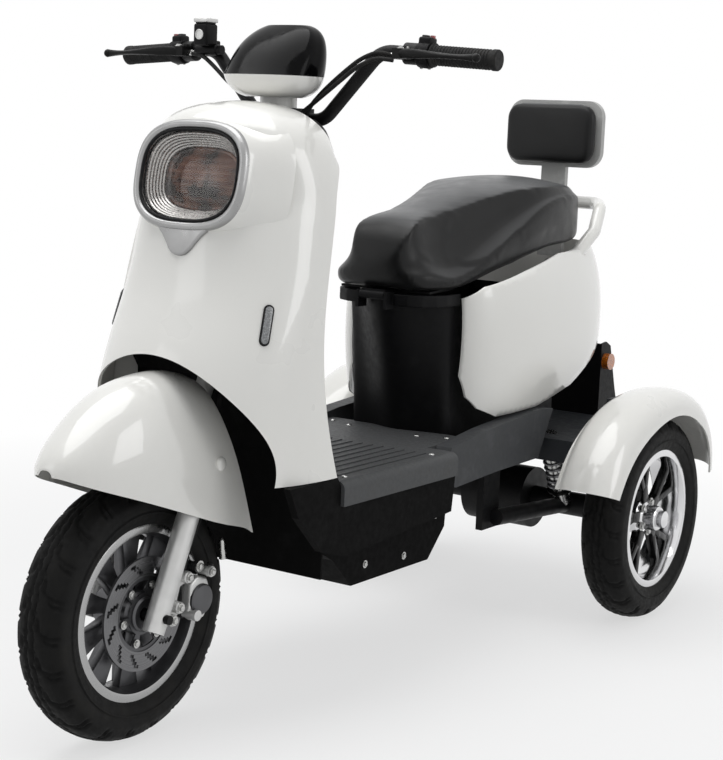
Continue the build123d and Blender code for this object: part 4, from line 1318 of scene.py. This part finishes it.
def make_springs():
    """Coil spring round each rear damper."""
    bm = bmesh.new()
    mesh = nodes["rear_shocks"].data
    for side in (-1, 1):
        spots = [v.co for v in mesh.vertices if v.co.x * side > 0]
        top = max(co.z for co in spots)
        bottom = min(co.z for co in spots)
        upper = [co for co in spots if co.z > top - 0.02]
        lower = [co for co in spots if co.z < bottom + 0.02]
        head = sum(upper, Vector()) / len(upper)
        foot = sum(lower, Vector()) / len(lower)
        way = head - foot
        start = Matrix.Translation((COIL_RADIUS, 0, 0)) @ Matrix.Rotation(pi / 2, 4, "X")
        wire = bmesh.ops.create_circle(bm, cap_ends=True, segments=8, radius=WIRE_RADIUS, matrix=start)["verts"]
        faces = list({f for v in wire for f in v.link_faces})
        before = set(bm.faces) - set(faces)
        steps = COILS * 24
        bmesh.ops.spin(bm, geom=wire + faces, cent=(0, 0, 0), axis=(0, 0, 1), dvec=(0, 0, way.length * 0.62 / steps),
                       angle=2 * pi * COILS, steps=steps, use_duplicate=False)
        made = [f for f in bm.faces if f not in before]
        place = facing(foot + way * 0.20, way)
        bmesh.ops.transform(bm, matrix=place, verts=list({v for f in made for v in f.verts}))
        turn(bm, [(0.0100, -0.004), (0.0260, -0.004), (0.0260, 0.0), (0.0120, 0.002)],
             facing(foot + way * 0.19, way), 28, 1)
        turn(bm, [(0.0120, 0.0), (0.0260, 0.002), (0.0260, 0.006), (0.0100, 0.006)],
             facing(foot + way * 0.83, way), 28, 1)
    return make_piece("rear_springs", bm, "chassis", ["steel", "satin_black"], (), 60.0)


FENDER_BAR_END = (90, 112.4, 425.4)


def make_fender_plugs():
    """Painted caps over the ends of the bar that carries the front fender."""
    bm = bmesh.new()
    x, y, z = FENDER_BAR_END
    for side in (-1, 1):
        screw_head(bm, at(side * x, y, z), (side, 0, 0.1), 0.0110, 0)
    return make_piece("fender_plugs", bm, "steering", ["body"], (), 60.0)


class SCOOTER_OT_running_gear(bpy.types.Operator):
    """Front caliper, fender plugs and rear springs"""

    bl_idname = "scooter.running_gear"
    bl_label = "Running gear"

    def execute(self, context):
        make_caliper()
        make_fender_plugs()
        make_springs()
        return {"FINISHED"}


# ---------------------------------------------------------------- small fasteners

FLOOR_SCREWS = ((75, 692), (126, 712), (190, 300), (190, 560))
TRAY_BOLTS = ((352, 262), (440, 214), (560, 206), (660, 262))
DECK_SCREWS = ((228, 1040), (228, 1150), (228, 1290))


def make_screws():
    """Screws of the floor, the tray under it and the rear deck."""
    bm = bmesh.new()
    for side in (-1, 1):
        for x, y in FLOOR_SCREWS:
            screw_head(bm, at(side * x, y, FLOOR_TOP), (0, 0, 1), 0.0048)
        for y, z in TRAY_BOLTS:
            bolt_head(bm, at(side * 142, y, z), (side, 0, 0), 0.0045, 0.0035)
        for x, y in DECK_SCREWS:
            screw_head(bm, at(side * x, y, DECK_TOP), (0, 0, 1), 0.0048)
    return make_piece("screws", bm, "chassis", ["bolt"], (), 35.0)


class SCOOTER_OT_fasteners(bpy.types.Operator):
    """Visible screws and bolts"""

    bl_idname = "scooter.fasteners"
    bl_label = "Fasteners"

    def execute(self, context):
        make_screws()
        return {"FINISHED"}


# ---------------------------------------------------------------- stage

FLOOR_RADIUS = 30.0
# Distance from the middle at which the floor starts and ends to fade, and how white it is at the start
FADE_START, FADE_END, FADE_LEAST = 0.9, 2.2, 0.62


def stage_floor():
    """Pale floor that keeps the shadow and fades to white further out."""
    stage = bpy.context.scene.scooter_stage
    bm = bmesh.new()
    bmesh.ops.create_circle(bm, cap_ends=True, segments=96, radius=FLOOR_RADIUS)
    mesh = bpy.data.meshes.new("floor")
    bm.to_mesh(mesh)
    bm.free()
    floor = bpy.data.objects.new("floor", mesh)
    bpy.context.scene.collection.objects.link(floor)
    f = Finish("floor_paper", stage.floor, 0.9, Specular_IOR_Level=0.0)
    spread = f.node("ShaderNodeVectorMath", {"operation": "LENGTH"}, {0: f.place}).out("Value")
    seen = f.node("ShaderNodeLightPath")
    ray = seen.out("Is Camera Ray") + seen.out("Is Glossy Ray") + seen.out("Is Transmission Ray")
    share = f.remap(spread, FADE_START, FADE_END, FADE_LEAST, 1.0) * ray.maths("MINIMUM", 1.0)
    glow = f.node("ShaderNodeEmission", None, {"Color": (1, 1, 1, 1), "Strength": 1.0}).out()
    mixed = f.node("ShaderNodeMixShader", None, {0: share})
    f.tree.links.new(f.shader.outputs[0], mixed.node.inputs[1])
    f.tree.links.new(glow.socket, mixed.node.inputs[2])
    f.tree.links.new(mixed.node.outputs[0], f.tree.nodes["Material Output"].inputs["Surface"])
    mesh.materials.append(f.material)


def stage_world():
    """White background for the eye, an even dimmer light for the surfaces."""
    world = bpy.data.worlds.new("studio")
    bpy.context.scene.world = world
    world.use_nodes = True
    tree = world.node_tree
    lit = tree.nodes["Background"]
    lit.inputs["Color"].default_value = (0.97, 0.985, 1.0, 1.0)
    lit.inputs["Strength"].default_value = bpy.context.scene.scooter_stage.fill
    seen = tree.nodes.new("ShaderNodeBackground")
    seen.inputs["Color"].default_value = (1, 1, 1, 1)
    path = tree.nodes.new("ShaderNodeLightPath")
    total = path.outputs["Is Camera Ray"]
    for kind in ("Is Glossy Ray", "Is Transmission Ray"):
        both = tree.nodes.new("ShaderNodeMath")
        both.operation = "ADD"
        both.use_clamp = True
        tree.links.new(total, both.inputs[0])
        tree.links.new(path.outputs[kind], both.inputs[1])
        total = both.outputs[0]
    mix = tree.nodes.new("ShaderNodeMixShader")
    tree.links.new(total, mix.inputs[0])
    tree.links.new(lit.outputs[0], mix.inputs[1])
    tree.links.new(seen.outputs[0], mix.inputs[2])
    tree.links.new(mix.outputs[0], tree.nodes["World Output"].inputs["Surface"])


def area_light(name, place, target, width, height, power):
    data = bpy.data.lights.new(name, "AREA")
    data.shape = "RECTANGLE"
    data.size, data.size_y = width, height
    data.energy = power
    lamp = bpy.data.objects.new(name, data)
    bpy.context.scene.collection.objects.link(lamp)
    lamp.location = place
    lamp.rotation_euler = (Vector(target) - Vector(place)).to_track_quat("-Z", "Y").to_euler()


CAMERA_PLACE, CAMERA_LENS = (1.7015, -2.4987, 0.9459), 80.86
CAMERA_TURN = (34.2, 8.5, 2.3)
LIGHTS = (
    # name, place, target, width, height, share of the key light's power
    ("overhead", (-0.4, -0.5, 3.2), (0, 0, 0.5), 2.6, 2.6, 1.0),
    ("side", (3.0, 0.2, 1.9), (0, 0, 0.6), 1.2, 1.8, 0.30),
    ("front", (-1.6, -3.2, 1.8), (0, 0, 0.6), 1.4, 1.6, 0.11),
)


def stage_camera():
    """Camera at the front left corner of the vehicle."""
    yaw, pitch, roll = (radians(angle) for angle in CAMERA_TURN)
    back = Vector((sin(yaw) * cos(pitch), -cos(yaw) * cos(pitch), sin(pitch)))
    right = Vector((cos(yaw), sin(yaw), 0.0))
    up = back.cross(right)
    across = right * cos(roll) + up * sin(roll)
    above = up * cos(roll) - right * sin(roll)
    data = bpy.data.cameras.new("view")
    data.sensor_width = 36.0
    data.lens = CAMERA_LENS
    data.clip_start, data.clip_end = 0.05, 80.0
    camera = bpy.data.objects.new("view", data)
    bpy.context.scene.collection.objects.link(camera)
    turned = Matrix((across, above, back)).transposed().to_4x4()
    camera.matrix_world = Matrix.Translation(CAMERA_PLACE) @ turned
    bpy.context.scene.camera = camera


class SCOOTER_OT_stage(bpy.types.Operator):
    """Floor, background, lights and camera"""

    bl_idname = "scooter.stage"
    bl_label = "Stage"

    def execute(self, context):
        context.scene.view_settings.view_transform = "Standard"
        power = context.scene.scooter_stage.key
        stage_camera()
        stage_floor()
        stage_world()
        for *where, share in LIGHTS:
            area_light(*where, power * share)
        return {"FINISHED"}


# ---------------------------------------------------------------- panel and running

OPERATORS = (
    SCOOTER_OT_stage, SCOOTER_OT_covers, SCOOTER_OT_rear_body, SCOOTER_OT_tyres, SCOOTER_OT_front_wheel,
    SCOOTER_OT_rear_wheels, SCOOTER_OT_seat, SCOOTER_OT_lamps, SCOOTER_OT_controls, SCOOTER_OT_running_gear,
    SCOOTER_OT_fasteners,
)


class SCOOTER_PT_panel(bpy.types.Panel):
    """Sizes, colours and pieces of the scooter"""

    bl_idname = "SCOOTER_PT_panel"
    bl_label = "Scooter"
    bl_space_type = "VIEW_3D"
    bl_region_type = "UI"
    bl_category = "Scooter"

    def draw(self, context):
        for operator in OPERATORS:
            self.layout.operator(operator.bl_idname)
        for group in GROUPS:
            settings = getattr(context.scene, group)
            for key in settings.bl_rna.properties.keys():
                if key not in ("rna_type", "name"):
                    self.layout.prop(settings, key)


GROUPS = {
    "scooter_colours": ScooterColours,
    "scooter_wheels": ScooterWheels,
    "scooter_seat": ScooterSeat,
    "scooter_stage": ScooterStage,
}
CLASSES = (*GROUPS.values(), *OPERATORS, SCOOTER_PT_panel)


def register():
    for made in CLASSES:
        bpy.utils.register_class(made)
    for name, group in GROUPS.items():
        setattr(bpy.types.Scene, name, PointerProperty(type=group))


def unregister():
    for name in GROUPS:
        delattr(bpy.types.Scene, name)
    for made in reversed(CLASSES):
        bpy.utils.unregister_class(made)


def main():
    register()
    for operator in OPERATORS:
        getattr(bpy.ops.scooter, operator.bl_idname.split(".")[1])()


if __name__ == "__main__":
    main()
